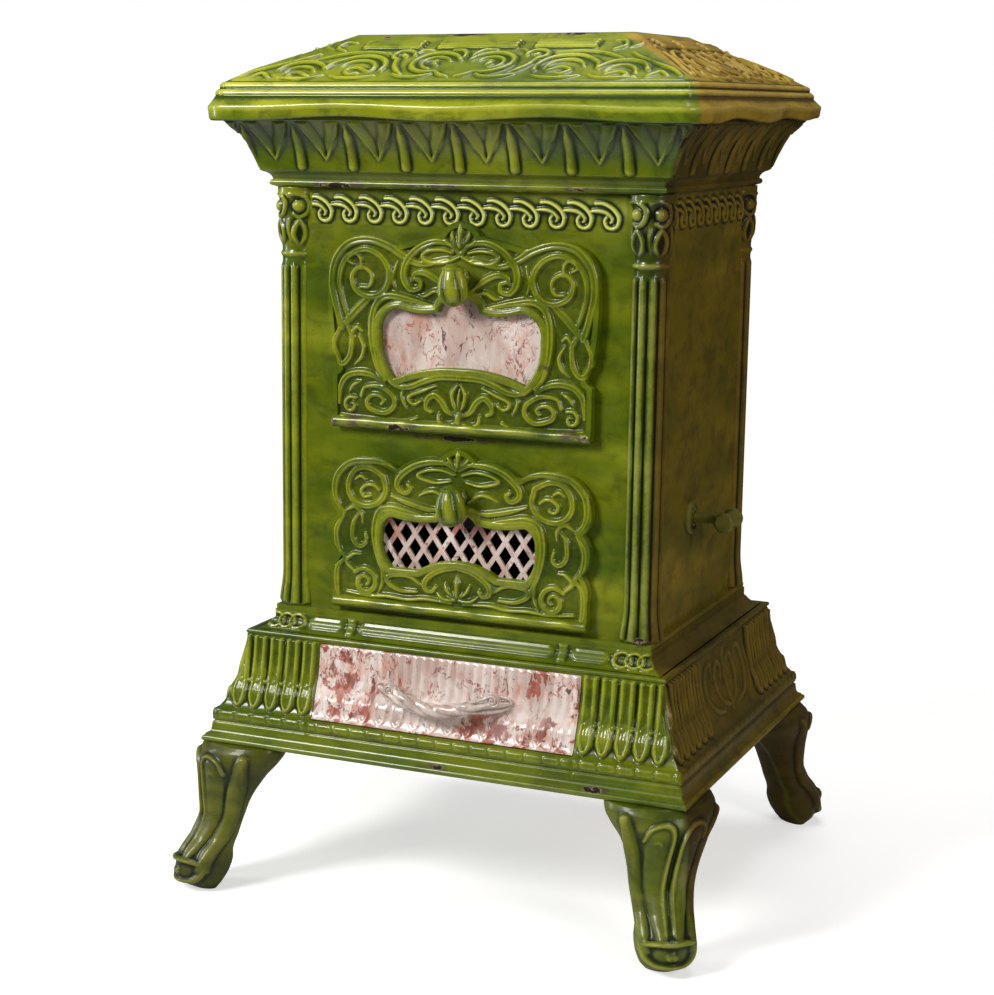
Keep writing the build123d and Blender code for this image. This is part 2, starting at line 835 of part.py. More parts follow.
def retaining_screws(bottom, rise):
    """Round-headed screws beside the window."""
    front = front_face_y - door_gap - door_thickness
    screws = []
    for side in (-1, 1):
        screws.append(rod_y(door_screw_radius, side * door_screw_x, front - 1.8, front,
                            bottom + rise))
    return Compound(children=screws)


# ---------------------------------------------------------------- ash drawer
def drawer_front(shell):
    """Slice of the plinth's front moulding, with two bosses that meet the tray."""
    gap = drawer_gap
    room = block(-drawer_half_x + gap, drawer_half_x - gap, -body_half_y - plinth_reach, -body_half_y,
                 drawer_bottom + gap, drawer_top - gap)
    front = shell & room
    boss_z = drawer_bottom + 24.0
    for side in (-1, 1):
        boss = rod_y(boss_radius, side * boss_x, tray_front_y - boss_reach, tray_front_y, boss_z)
        front += boss & plinth_core
    return front


tray_front_y = -body_half_y - 12.0
tray_bottom = drawer_bottom + tray_lift


def ash_tray():
    """Sheet-metal box, open at the top."""
    z0, z1 = tray_bottom, tray_bottom + tray_height
    y0, y1 = tray_front_y, tray_front_y + tray_depth
    t = tray_sheet
    tray = block(-tray_half_x, tray_half_x, y0, y1, z0, z1)
    return tray - block(-tray_half_x + t, tray_half_x - t, y0 + t, y1 - t, z0 + t, z1 + 1)


def drawer_runners():
    """Two angles on the base plate that the tray slides on."""
    y0, y1 = -body_half_y - 4.0, tray_front_y + tray_depth + 8.0
    top = tray_bottom - lid_seat_gap
    rails = []
    for side in (-1, 1):
        inner = side * (tray_half_x - runner_width)
        outer = side * (tray_half_x + runner_web + 1.0)
        x0, x1 = min(inner, outer), max(inner, outer)
        web0 = outer - side * runner_web
        wx0, wx1 = min(web0, outer), max(web0, outer)
        rail = block(x0, x1, y0, y1, top - runner_web, top)
        rails.append(rail + block(wx0, wx1, y0, y1, base_top, top + 6.0))
    return Compound(children=rails)


def drawer_handle(face_y):
    """Bow handle that sags in the middle, with a leaf-shaped pad at each end."""
    ends = handle_half_span
    start = (-ends, face_y - 1.5, handle_height)
    middle = (0, face_y - handle_reach, handle_height - handle_drop)
    path = ThreePointArc(start, middle, (ends, face_y - 1.5, handle_height))
    bar = sweep(Plane(path @ 0, z_dir=path % 0) * Circle(handle_radius), path=path)
    for side in (-1, 1):
        pad = Pos(side * (ends + 2.0), face_y - 1.0, handle_height + 1.0) * Rot(0, side * 12, 0)
        bar += pad * scale(Sphere(1.0), (20.0, 5.5, 8.5))
    return bar - plinth_core


def drawer_screws(face_y):
    """Screws that hold the handle from behind."""
    screws = []
    for side in (-1, 1):
        x = side * handle_half_span
        shank = rod_y(handle_screw_radius, x, face_y + casting_wall, face_y + casting_wall + 8.0,
                      handle_height)
        screws.append((shank + rod_y(handle_screw_radius + 2.5, x, face_y + casting_wall + 1.5,
                                     face_y + casting_wall + 4.5, handle_height)) - plinth_wall)
    return Compound(children=screws)


# ---------------------------------------------------------------- firebox
frame_top = grate_z + grate_frame_depth / 2
frame_bottom = frame_top - grate_frame_depth
hole_half_x = grate_half_x + grate_clearance
hole_half_y = grate_half_y + grate_clearance
frame_half_x = side_face_x - plate_thickness - fit_gap
frame_y0 = front_face_y + plate_thickness + 8.0
frame_y1 = back_face_y - plate_thickness - 40.0


def grate_frame():
    """Cast frame with ribs below, bearings for the shaft and an opening for the grate."""
    wall = casting_wall
    plate = block(-frame_half_x, frame_half_x, frame_y0, frame_y1, frame_bottom, frame_top)
    under = block(-frame_half_x + wall, frame_half_x - wall, frame_y0 + wall, frame_y1 - wall,
                  frame_bottom - 1, frame_top - grate_frame_plate)
    curb = block(-hole_half_x - wall, hole_half_x + wall, grate_y - hole_half_y - wall,
                 grate_y + hole_half_y + wall, frame_bottom - 2, frame_top)
    plate -= under - curb
    for side in (-1, 1):
        x0, x1 = sorted((side * (hole_half_x + 1), side * frame_half_x))
        plate += rod_x(bearing_radius - 1.0, x0, x1, grate_y, grate_z)
    plate -= block(-hole_half_x, hole_half_x, grate_y - hole_half_y, grate_y + hole_half_y,
                   frame_bottom - 1, frame_top + 1)
    plate -= rod_x(shaft_radius + running_gap, -shaft_left, side_face_x, grate_y, grate_z)
    post_x, post_y = column_x - column_radius - 1.0, column_y - column_radius - 1.0
    for side in (-1, 1):
        x0, x1 = sorted((side * post_x, side * side_face_x))
        plate -= block(x0, x1, frame_y0 - 1, -post_y, frame_bottom - 1, frame_top + 1)
    return plate


shaft_left = grate_half_x + 36.0


def shaker_shaft():
    """Steel shaft through the frame, the grate and the right-hand plate."""
    return rod_x(shaft_radius, -shaft_left + 0.5, side_face_x + 4.0, grate_y, grate_z)


def rocking_grate():
    """Slotted grate with a hub along its shaft."""
    half_z = grate_thickness / 2
    grate = block(-grate_half_x, grate_half_x, grate_y - grate_half_y, grate_y + grate_half_y,
                  grate_z - half_z, grate_z + half_z)
    slots = int((2 * grate_half_x - 16) // grate_pitch)
    first = -(slots - 1) / 2 * grate_pitch
    inner, outer = shaft_radius + 6.0, grate_half_y - 7.0
    for index in range(slots):
        x = first + index * grate_pitch
        for side in (-1, 1):
            y0, y1 = sorted((grate_y + side * inner, grate_y + side * outer))
            grate -= block(x - grate_slot / 2, x + grate_slot / 2, y0, y1,
                           grate_z - half_z - 1, grate_z + half_z + 1)
    grate += rod_x(shaft_radius + 3.5, -grate_half_x, grate_half_x, grate_y, grate_z)
    return grate - rod_x(shaft_radius, -grate_half_x - 1, grate_half_x + 1, grate_y, grate_z)


def escutcheon():
    """Dished rosette round the shaft on the right-hand plate."""
    r = escutcheon_radius
    outline = [
        Line((0, 0), (r, 0)),
        Line((r, 0), (r, 1.5)),
        ThreePointArc((r, 1.5), (r - 1.8, escutcheon_depth - 1.2), (r - 4.0, escutcheon_depth - 1.0)),
        ThreePointArc((r - 4.0, escutcheon_depth - 1.0), (r - 8.0, 2.6), (8.0, escutcheon_depth)),
        Line((8.0, escutcheon_depth), (0, escutcheon_depth)),
        Line((0, escutcheon_depth), (0, 0)),
    ]
    rosette = revolve(Plane.XZ * Face(Wire(outline)), Axis.Z)
    placed = Pos(side_face_x, grate_y, grate_z) * Rot(0, 90, 0) * rosette
    return placed - rod_x(shaft_radius + running_gap, side_face_x - 1,
                          side_face_x + escutcheon_depth + 1, grate_y, grate_z)


spindle_start = side_face_x + escutcheon_depth + 0.5
spindle_end = spindle_start + spindle_length


def shaker_collar():
    """Nut that locks the handle on its spindle."""
    ring = rod_x(collar_radius, spindle_end, spindle_end + collar_length, grate_y, grate_z)
    return ring - rod_x(spindle_tip_radius, spindle_end - 1, spindle_end + collar_length + 1,
                        grate_y, grate_z)


def shaker_handle():
    """Tapered spindle with a turned cross-bar."""
    taper = Solid.make_cone(spindle_radius, spindle_tip_radius, spindle_length)
    spindle = Pos(spindle_start, grate_y, grate_z) * Rot(0, 90, 0) * taper
    hub_x = spindle_end + collar_length + knob_waist_radius + 1.0
    spindle += rod_x(spindle_tip_radius, spindle_end - 0.5, hub_x, grate_y, grate_z)
    r, w, half = knob_radius, knob_waist_radius, knob_length / 2
    outline = [
        Line((0, -half), (r - 3.0, -half)),
        ThreePointArc((r - 3.0, -half), (r, -half + 3.5), (r - 2.0, -half + 7.0)),
        ThreePointArc((r - 2.0, -half + 7.0), (w, 0), (r - 2.0, half - 7.0)),
        ThreePointArc((r - 2.0, half - 7.0), (r, half - 3.5), (r - 3.0, half)),
        Line((r - 3.0, half), (0, half)),
        Line((0, half), (0, -half)),
    ]
    turned = revolve(Plane.XZ * Face(Wire(outline)), Axis.Z)
    socket = rod_x(shaft_radius - 2.0, side_face_x + 4.0, spindle_start + 1, grate_y, grate_z)
    return spindle + Pos(hub_x, grate_y, grate_z) * Rot(90, 0, 0) * turned + socket


def bricks():
    """Fire bricks on the grate frame, left, right, front and rear."""
    inner_x = hole_half_x + brick_clearance
    front_y = grate_y - hole_half_y - brick_clearance
    rear_y = grate_y + hole_half_y + brick_clearance
    z0, z1 = frame_top, frame_top + brick_height
    side_brick = block(inner_x, inner_x + brick_thickness, front_y, rear_y, z0, z1)
    reach = inner_x + brick_thickness
    front_reach = column_x - column_radius - 2.0
    return {
        "firebrick_right": side_brick,
        "firebrick_left": side_brick.mirror(Plane.YZ),
        "firebrick_front": block(-front_reach, front_reach, front_y - brick_thickness + 4.0,
                                 front_y - fit_gap, z0, z0 + front_brick_height),
        "firebrick_rear": block(-reach, reach, rear_y + fit_gap, rear_y + brick_thickness, z0, z1),
    }


# ---------------------------------------------------------------- cornice and top
def cornice_edge(half):
    """Outline of the cornice: foot bead, fillet, flared hollow and lip."""
    foot = half + cornice_foot_overhang
    lip = half + cornice_overhang
    z0 = body_top
    return [
        Line((foot - 3.0, z0), (foot - 1.0, z0 + 1.0)),
        ThreePointArc((foot - 1.0, z0 + 1.0), (foot + 2.2, z0 + 4.0), (foot - 0.5, z0 + 7.0)),
        ThreePointArc((foot - 0.5, z0 + 7.0), (foot + 2.0, z0 + 12.0), (foot + 6.5, z0 + 14.5)),
        Line((foot + 6.5, z0 + 14.5), (foot + 9.0, z0 + 16.0)),
        ThreePointArc((foot + 9.0, z0 + 16.0), (half + 20.5, z0 + 40.0), (lip, cornice_top - 3.0)),
        Line((lip, cornice_top - 3.0), (lip, cornice_top)),
    ]


def cornice():
    """Flared frame round the top, with the fixed ears of the lid's hinges."""
    frame = mitred(cornice_edge) - mitred(cornice_edge, inset=casting_wall + 2.0)
    for side in (-1, 1):
        x0, x1 = side * lid_hinge_x - lid_ear_width / 2, side * lid_hinge_x + lid_ear_width / 2
        frame += rod_x(lid_eye_radius, x0, x1, lid_hinge_y, lid_hinge_z)
        frame += block(x0, x1, body_half_y + cornice_overhang - 3.0, lid_hinge_y,
                       lid_hinge_z - lid_eye_radius - 4.0, lid_bottom - 2 * lid_seat_gap)
        frame += block(x0, x1, lid_hinge_y - 3.0, lid_hinge_y + 3.0,
                       lid_hinge_z - lid_eye_radius - 4.0, lid_hinge_z)
        frame -= rod_x(lid_pin_radius + running_gap, x0 - 1, x1 + 1, lid_hinge_y, lid_hinge_z)
    return frame


hot_half_x = body_half_x - casting_wall - 2.0 + cornice_foot_overhang - 3.0 - fit_gap
hot_half_y = hot_half_x - body_half_x + body_half_y


def hot_plate():
    """Inner top plate with a round loading hole."""
    z0, z1 = body_top, body_top + hot_plate_thickness
    plate = block(-hot_half_x, hot_half_x, -hot_half_y, hot_half_y, z0, z1)
    plate -= rod_z(plug_radius - plug_lip, 0, 0, z0 - 1, z1 + 1)
    plate -= rod_z(plug_radius + fit_gap, 0, 0, z1 - plug_thickness / 2, z1 + 1)
    for x, y in corners(column_x, column_y):
        plate -= rod_z(tie_rod_radius + tie_rod_gap, x, y, z0 - 1, z1 + 1)
    return plate


def loading_plug():
    """Lift-out cover of the loading hole, with a recessed lifting bar."""
    z1 = body_top + hot_plate_thickness
    seat = z1 - plug_thickness / 2 + lid_seat_gap
    plug = rod_z(plug_radius, 0, 0, seat, seat + plug_thickness / 2 + 2.0)
    plug += rod_z(plug_radius - plug_lip - 1.0, 0, 0, seat - 3.0, seat)
    slot = block(-16, 16, -7, 7, seat + 1.0, seat + 10)
    return plug - slot + block(-16, 16, -2, 2, seat + 0.5, seat + plug_thickness / 2 + 2.0)


def rim_edge(slope_run):
    """Makes the lid's outline for a slope of the given run."""
    def edge(half):
        rim = half + rim_overhang
        z0 = lid_bottom
        ridge = half + rim_overhang - 13.5
        top = lid_bottom + lid_height
        return [
            Line((rim - 3.0, z0), (rim - 1.5, z0 + 8.0)),
            ThreePointArc((rim - 1.5, z0 + 8.0), (rim + 0.3, z0 + 10.0), (rim - 1.0, z0 + 12.5)),
            ThreePointArc((rim - 1.0, z0 + 12.5), (rim - 5.0, z0 + 16.5), (rim - 8.0, z0 + 19.0)),
            Line((rim - 8.0, z0 + 19.0), (rim - 8.8, z0 + 20.0)),
            ThreePointArc((rim - 8.8, z0 + 20.0), (rim - 9.0, z0 + 23.5), (rim - 12.0, z0 + 25.5)),
            Line((rim - 12.0, z0 + 25.5), (rim - 13.0, z0 + 26.5)),
            ThreePointArc((rim - 13.0, z0 + 26.5), (ridge + 0.5, z0 + 30.5), (ridge - 3.0, z0 + 32.0)),
            Line((ridge - 3.0, z0 + 32.0), (half - slope_run, top)),
        ]
    return edge


def lid_solid(inset):
    """Hipped lid, filled, drawn in by inset on every face."""
    face_x = mirrored_face(rim_edge(body_half_x - plateau_half_x)(body_half_x - inset))
    face_y = mirrored_face(rim_edge(body_half_y - plateau_half_y)(body_half_y - inset))
    solid = (extrude(Plane.XZ * face_x, 300, both=True)
             & extrude(Plane.YZ * face_y, 300, both=True))
    corner = body_half_x + body_half_y + 2 * (rim_overhang - inset) - rim_chamfer
    cut = mirrored_face(rim_edge(60.0)(corner / math.sqrt(2) - rim_overhang))
    for heading in (45, -45):
        solid &= Rot(0, 0, heading) * extrude(Plane.XZ * cut, 400, both=True)
    return solid


def scroll_face(half, length):
    """Three bars over a row of open rings, fitted to a slope half wide and length high."""
    wide, high = half / drawn_slope_half, length / drawn_slope_length
    face = Sketch()
    for x, bar_length in ((-88.0, 60.0), (0.0, 80.0), (88.0, 60.0)):
        face += Pos(x * wide, 87.0 * high) * Rectangle(bar_length * wide, 12.0 * high)
    for side in (-1, 1):
        for x, up, radius, first, turn in (
            # middle, radius, first angle and turn of a ring right of the middle
            (27.0, 42.0, 23.0, -110.0, 270.0),
            (67.0, 61.0, 10.5, -70.0, 250.0),
            (104.0, 31.0, 28.0, 195.0, -150.0),
            (160.0, 20.0, 25.0, 160.0, -150.0),
        ):
            start = first if side > 0 else 180.0 - first
            ring = CenterArc((side * x * wide, up * high), radius * high, start, side * turn)
            face += trace(ring, scroll_width)
    return face


def lid_scrolls():
    """Raised bars and scrolls of the lid's four slopes."""
    scrolls = []
    for heading, depth, half, plateau in (
        (0, body_half_y, body_half_x, plateau_half_y),
        (180, body_half_y, body_half_x, plateau_half_y),
        (90, body_half_x, body_half_y, plateau_half_x),
        (-90, body_half_x, body_half_y, plateau_half_x),
    ):
        run = depth + slope_overhang - plateau
        slope = Plane((0, -depth - slope_overhang, slope_foot), x_dir=(1, 0, 0),
                      z_dir=(0, -slope_rise, run))
        face = scroll_face(half, math.hypot(run, slope_rise))
        raised = extrude(slope * Pos(0, 0, -scroll_sink) * face, scroll_sink + scroll_height)
        scrolls.append(Rot(0, 0, heading) * raised)
    return scrolls


def lid(filled):
    """Hollow hipped lid with moulded rim and scrolled slopes."""
    return filled - Pos(0, 0, -lid_wall * 0.9) * lid_solid(lid_wall) + lid_scrolls()


def lid_hinge_leaves(filled):
    """Two forked leaves seated on the lid's rear rim, one for each hinge."""
    near = lid_ear_width / 2 + lid_ear_gap
    far = near + lid_leaf_cheek
    bridge_z = lid_hinge_z + lid_eye_radius + lid_ear_gap
    rim_y = body_half_y + rim_overhang
    leaves = []
    for side in (-1, 1):
        x = side * lid_hinge_x
        leaf = block(x - far, x + far, rim_y - 8.0, lid_hinge_y, bridge_z, bridge_z + lid_leaf_bridge)
        for x0, x1 in ((x - far, x - near), (x + near, x + far)):
            leaf += rod_x(lid_eye_radius, x0, x1, lid_hinge_y, lid_hinge_z)
            leaf += block(x0, x1, rim_y - 3.5, lid_hinge_y, lid_hinge_z - 4.0,
                          bridge_z + lid_leaf_bridge)
        leaf -= filled
        leaves.append(leaf - rod_x(lid_pin_radius, x - far - 1, x + far + 1,
                                   lid_hinge_y, lid_hinge_z))
    return Compound(children=leaves)


def lid_pins():
    """Pins of the lid's hinges."""
    half = lid_ear_width / 2 + lid_ear_gap + lid_leaf_cheek
    pins = [rod_x(lid_pin_radius, side * lid_hinge_x - half, side * lid_hinge_x + half,
                  lid_hinge_y, lid_hinge_z) for side in (-1, 1)]
    return Compound(children=pins)


# ---------------------------------------------------------------- write the pieces
os.makedirs("parts", exist_ok=True)

one_leg = leg()
leg_names = ("foot_front_left", "foot_front_right", "foot_back_left", "foot_back_right")
for name, (sx, sy) in zip(leg_names, corners(1, 1)):
    placed = place_leg(one_leg, sx, sy)
    save(name, placed - foot_bolt_hole(sx * foot_bolt_x, sy * foot_bolt_y))
save("foot_bolts", foot_bolts())
save("foot_nuts", Compound(children=nuts(corners(foot_bolt_x, foot_bolt_y), base_top,
                                         foot_bolt_radius)))
save("base_plate", base_plate())

plinth_core = mitred(plinth_edge)
plinth_wall = plinth_shell() + all_gadroons()
save("plinth_front", plinth_front(plinth_wall))
save("plinth_back", plinth_side(plinth_wall, 0, 1))
save("plinth_left", plinth_side(plinth_wall, -1, 0))
save("plinth_right", plinth_side(plinth_wall, 1, 0))
save("plinth_centre_strip", centre_strip(plinth_wall))
save("sole_plate", sole_plate())

one_column = column()
column_names = ("column_front_left", "column_front_right", "column_back_left",
                "column_back_right")
for name, (sx, sy) in zip(column_names, corners(1, 1)):
    save(name, place_column(one_column, sx, sy))
save("tie_rods", tie_rods())
save("tie_rod_nuts", tie_rod_nuts())

save("front_plate", front_plate())
save("left_plate", side_plate(-1))
save("right_plate", side_plate(1))
save("back_plate", back_plate())
save("flue_collar", flue_collar())
save("flue_flange", flue_flange())
save("flue_bolts", flue_bolts())

save("upper_door", door_body(upper_door_outline, upper_window_outline, upper_door_bottom,
                             upper_opening))
save("upper_door_insert", window_sheet(upper_window_outline, upper_door_bottom))
save("upper_door_pull", door_pull(upper_door_bottom, upper_pull_rise))
save("upper_door_pins", hinge_pins(upper_door_bottom))
save("upper_door_catch", door_catch(upper_opening[1]))
save("upper_door_screws", retaining_screws(upper_door_bottom, upper_screw_rise))
save("lower_door", door_body(lower_door_outline, lower_window_outline, lower_door_bottom,
                             lower_opening))
save("lower_door_lattice", window_lattice(lower_window_outline, lower_door_bottom))
save("lower_door_pull", door_pull(lower_door_bottom, lower_pull_rise))
save("lower_door_pins", hinge_pins(lower_door_bottom))
save("lower_door_catch", door_catch(lower_opening[1]))

drawer_face_y = wall_face_y(handle_height)
save("ash_drawer_front", drawer_front(plinth_wall))
save("ash_drawer_tray", ash_tray())
save("ash_drawer_handle", drawer_handle(drawer_face_y))
save("ash_drawer_screws", drawer_screws(drawer_face_y))
save("drawer_runners", drawer_runners())

save("grate_frame", grate_frame())
save("rocking_grate", rocking_grate())
save("shaker_shaft", shaker_shaft())
save("shaker_escutcheon", escutcheon())
save("shaker_collar", shaker_collar())
save("shaker_handle", shaker_handle())
for name, brick in bricks().items():
    save(name, brick)

save("cornice", cornice())
save("hot_plate", hot_plate())
save("loading_plug", loading_plug())
lid_form = lid_solid(0.0)
save("lid", lid(lid_form))
save("lid_hinge_leaves", lid_hinge_leaves(lid_form))
save("lid_pins", lid_pins())
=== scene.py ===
"""Looks of an enamelled cast-iron room stove: relief, glaze, marbling, iron, studio."""

import json
import logging
import math
from collections.abc import Callable, Iterable, Sequence
from dataclasses import dataclass, replace
from enum import Enum

import bmesh
import bpy
import numpy as np
from mathutils import Matrix, Vector
from mathutils.bvhtree import BVHTree

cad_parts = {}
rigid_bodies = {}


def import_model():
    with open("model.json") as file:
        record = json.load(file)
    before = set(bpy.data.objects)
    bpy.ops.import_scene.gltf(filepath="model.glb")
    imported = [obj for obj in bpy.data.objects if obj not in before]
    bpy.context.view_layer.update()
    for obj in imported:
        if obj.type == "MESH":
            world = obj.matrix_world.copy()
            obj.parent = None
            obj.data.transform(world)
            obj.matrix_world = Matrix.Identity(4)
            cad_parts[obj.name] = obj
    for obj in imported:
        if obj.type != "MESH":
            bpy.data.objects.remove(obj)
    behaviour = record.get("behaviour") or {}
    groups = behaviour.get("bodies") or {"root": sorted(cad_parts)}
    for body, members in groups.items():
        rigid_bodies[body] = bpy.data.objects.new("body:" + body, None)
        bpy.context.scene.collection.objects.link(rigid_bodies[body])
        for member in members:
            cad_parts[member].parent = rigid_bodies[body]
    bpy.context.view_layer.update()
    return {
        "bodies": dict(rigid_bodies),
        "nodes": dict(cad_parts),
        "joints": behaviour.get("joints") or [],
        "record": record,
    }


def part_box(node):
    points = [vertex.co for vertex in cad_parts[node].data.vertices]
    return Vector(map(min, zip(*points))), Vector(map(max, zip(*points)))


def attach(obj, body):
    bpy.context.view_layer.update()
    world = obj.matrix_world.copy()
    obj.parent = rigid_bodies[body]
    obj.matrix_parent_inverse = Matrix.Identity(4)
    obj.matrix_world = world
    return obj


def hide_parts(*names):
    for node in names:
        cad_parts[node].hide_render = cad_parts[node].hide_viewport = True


log = logging.getLogger("stove")

MM = 0.001
Point = tuple[float, float]
Point3 = tuple[float, float, float]
Colour = tuple[float, float, float, float]
Array = np.ndarray
Pair = tuple[Array, Array]
Socket, Node = bpy.types.NodeSocket, bpy.types.Node
Material, Mesh, Object = bpy.types.Material, bpy.types.Mesh, bpy.types.Object
BODY_X, BODY_Y = 195.0, 150.0
COLUMN_FLANK = 17.0


# -------------------- cast relief
class Section(Enum):
    """Cross-section of a raised line in the casting."""

    ROUND = "round"
    CHANNEL = "channel"
    LEAF = "leaf"
    SLAB = "slab"


ROUND, CH, LEAF, SLAB = Section


@dataclass(frozen=True)
class Vine:
    """One raised line of the ornament, in millimetres on its sheet.

    start and end are the shares of the width that are left at the line's two ends.
    """

    path: tuple[Point, ...]
    width: float = 5.5
    height: float = 3.0
    section: Section = ROUND
    start: float = 0.75
    end: float = 0.75
    twin: bool = True

    def moved(self, across: float, up: float) -> "Vine":
        """The same line in another place.

        Args:
            across: shift along the sheet.
            up: shift up the sheet.

        Returns:
            A new line.
        """
        return replace(self, path=tuple((x + across, y + up) for x, y in self.path))

    def bolder(self, width: float, height: float) -> "Vine":
        """The same line, wider and higher by two factors."""
        return replace(self, width=self.width * width, height=self.height * height)

    def flipped(self) -> "Vine":
        """The line's mirror image about the sheet's middle."""
        return replace(self, path=tuple((-x, y) for x, y in self.path), twin=False)


def trace(points: str, *rest: object) -> Vine:
    """A line through points that are written as "x,y x,y".

    Args:
        points: its points.
        rest: its other measures, in Vine's order.

    Returns:
        The line.
    """
    return Vine(tuple(tuple(map(float, point.split(","))) for point in points.split()), *rest)


def smooth_path(points: Sequence[Point], spacing: float) -> Array:
    """Even points on a smooth line through the given ones.

    Args:
        points: the line's own points.
        spacing: distance between the points that come back.

    Returns:
        Array of x, y and the share of the length so far.
    """
    p = np.array(points, float)
    ends = np.vstack([2 * p[0] - p[1], p, 2 * p[-1] - p[-2]])
    pieces = []
    for a, b, c, d in zip(ends, ends[1:], ends[2:], ends[3:]):
        t = np.linspace(0, 1, 17)[:-1, None]
        pieces.append(0.5 * (2 * b + (c - a) * t + (2 * a - 5 * b + 4 * c - d) * t**2
                             + (3 * b - a - 3 * c + d) * t**3))
    line = np.vstack([*pieces, p[-1:]])
    run = np.concatenate([[0], np.cumsum(np.hypot(*np.diff(line, axis=0).T))])
    count = max(2, int(run[-1] / spacing) + 1)
    at = np.linspace(0, run[-1], count)
    return np.column_stack([np.interp(at, run, line[:, 0]), np.interp(at, run, line[:, 1]),
                            at / run[-1]])


def ramp(value: Array, low: float, high: float) -> Array:
    """Smooth step from 0 at low to 1 at high."""
    t = np.clip((value - low) / (high - low), 0, 1)
    return t * t * (3 - 2 * t)


def circle(away: Array) -> Array:
    """Height of the unit circle at a distance from its middle."""
    return np.sqrt(np.clip(1 - away ** 2, 0, 1))


def blurred(heights: Array, radius: float) -> Array:
    """Gaussian blur.

    Args:
        heights: heights on a raster.
        radius: standard deviation in raster steps.

    Returns:
        The blurred raster.
    """
    reach = max(1, int(radius * 2.6))
    kernel = np.exp(-0.5 * (np.arange(-reach, reach + 1) / radius) ** 2)
    kernel /= kernel.sum()
    out = heights
    for axis in (0, 1):
        pad = [(reach, reach) if a == axis else (0, 0) for a in (0, 1)]
        wide = np.pad(out, pad, mode="edge")
        out = sum(k * np.take(wide, range(i, i + heights.shape[axis]), axis=axis)
                  for i, k in enumerate(kernel))
    return out


class Relief:
    """Heights of a cast surface on an even raster, in millimetres."""

    AROUND = 2.8  # reach of the surroundings that each height is compared with
    PROUD = 1.7  # height over them that counts as a full ridge
    ENDS = 0.35  # share of a line over which its ends narrow

    def __init__(self, low: Point, high: Point, step: float) -> None:
        """Starts a flat field.

        Args:
            low: lower left corner.
            high: upper right corner.
            step: raster step.
        """
        self.step = step
        self.x = np.arange(low[0], high[0] + step, step)
        self.y = np.arange(low[1], high[1] + step, step)
        self.height = np.zeros((len(self.y), len(self.x)))
        self.tone = np.zeros_like(self.height)

    def draw(self, vines: Iterable[Vine]) -> "Relief":
        """Casts lines into the field, with their mirror images where they have one."""
        for vine in vines:
            self._cast(vine)
            if vine.twin:
                self._cast(vine.flipped())
        return self

    def _cast(self, vine: Vine) -> None:
        """Raises the field along one line."""
        line = smooth_path(vine.path, self.step * 0.8)
        grow = vine.start + (1 - vine.start) * ramp(line[:, 2], 0, self.ENDS)
        share = grow * (vine.end + (1 - vine.end) * ramp(1 - line[:, 2], 0, self.ENDS))
        near = np.full(self.height.shape, 9.0)
        rise = np.zeros(self.height.shape)
        for (x, y, _), part in zip(line, share):
            half = max(0.3, vine.width * part / 2)
            j0, j1 = np.searchsorted(self.x, (x - half, x + half))
            i0, i1 = np.searchsorted(self.y, (y - half, y + half))
            if j0 == j1 or i0 == i1:
                continue
            away = np.hypot(self.x[None, j0:j1] - x, self.y[i0:i1, None] - y) / half
            window = near[i0:i1, j0:j1]
            closer = away < window
            window[closer] = away[closer]
            rise[i0:i1, j0:j1][closer] = vine.height * (0.5 + 0.5 * part)
        self.height = np.maximum(self.height, rise * section_height(near, vine.section))

    def finish(self, softness: float = 0.5, pools: float = 1.0) -> "Relief":
        """Softens the field as glaze does, and keeps a tone of where it stands proud or lies low,
        which the glazes paint as painted highlight and painted shade along with thin and pooled
        glaze.

        Args:
            softness: reach of the softening.
            pools: how dark the hollows are painted, pooled glaze and painted shade.

        Returns:
            The same field.
        """
        self.height = blurred(self.height, softness / self.step)
        wide = blurred(self.height, self.AROUND / self.step)
        self.tone = np.clip((self.height - wide) / self.PROUD, -1, 1)
        self.tone *= np.where(self.tone < 0, pools, 1.0)
        return self

    def at(self, x: Array, y: Array) -> Pair:
        """Height and tone at any points of the sheet."""
        fx = np.clip((x - self.x[0]) / self.step, 0, len(self.x) - 1.001)
        fy = np.clip((y - self.y[0]) / self.step, 0, len(self.y) - 1.001)
        j, i = fx.astype(int), fy.astype(int)
        a, b = fx - j, fy - i

        def mix(grid: Array) -> Array:
            """Value between the four nearest raster points."""
            return ((grid[i, j] * (1 - a) + grid[i, j + 1] * a) * (1 - b)
                    + (grid[i + 1, j] * (1 - a) + grid[i + 1, j + 1] * a) * b)

        return mix(self.height), mix(self.tone)


def section_height(near: Array, section: Section) -> Array:
    """Height share of a line's cross-section.

    Args:
        near: distance from the line's middle, as a share of its half width.
        section: which cross-section.

    Returns:
        Shares from 0 to 1.
    """
    t = np.clip(near, 0, 1)
    dome = np.power(1 - t * t, 0.62)
    if section is CH:
        return dome * (1 - 0.34 * np.exp(-((t - 0.08) / 0.24) ** 2))
    if section is LEAF:
        return np.where(near < 1, (1 - t) ** 0.8 * 0.85 + 0.15 * dome, 0)
    if section is SLAB:
        return ramp(1 - near, 0, 0.25)
    return dome


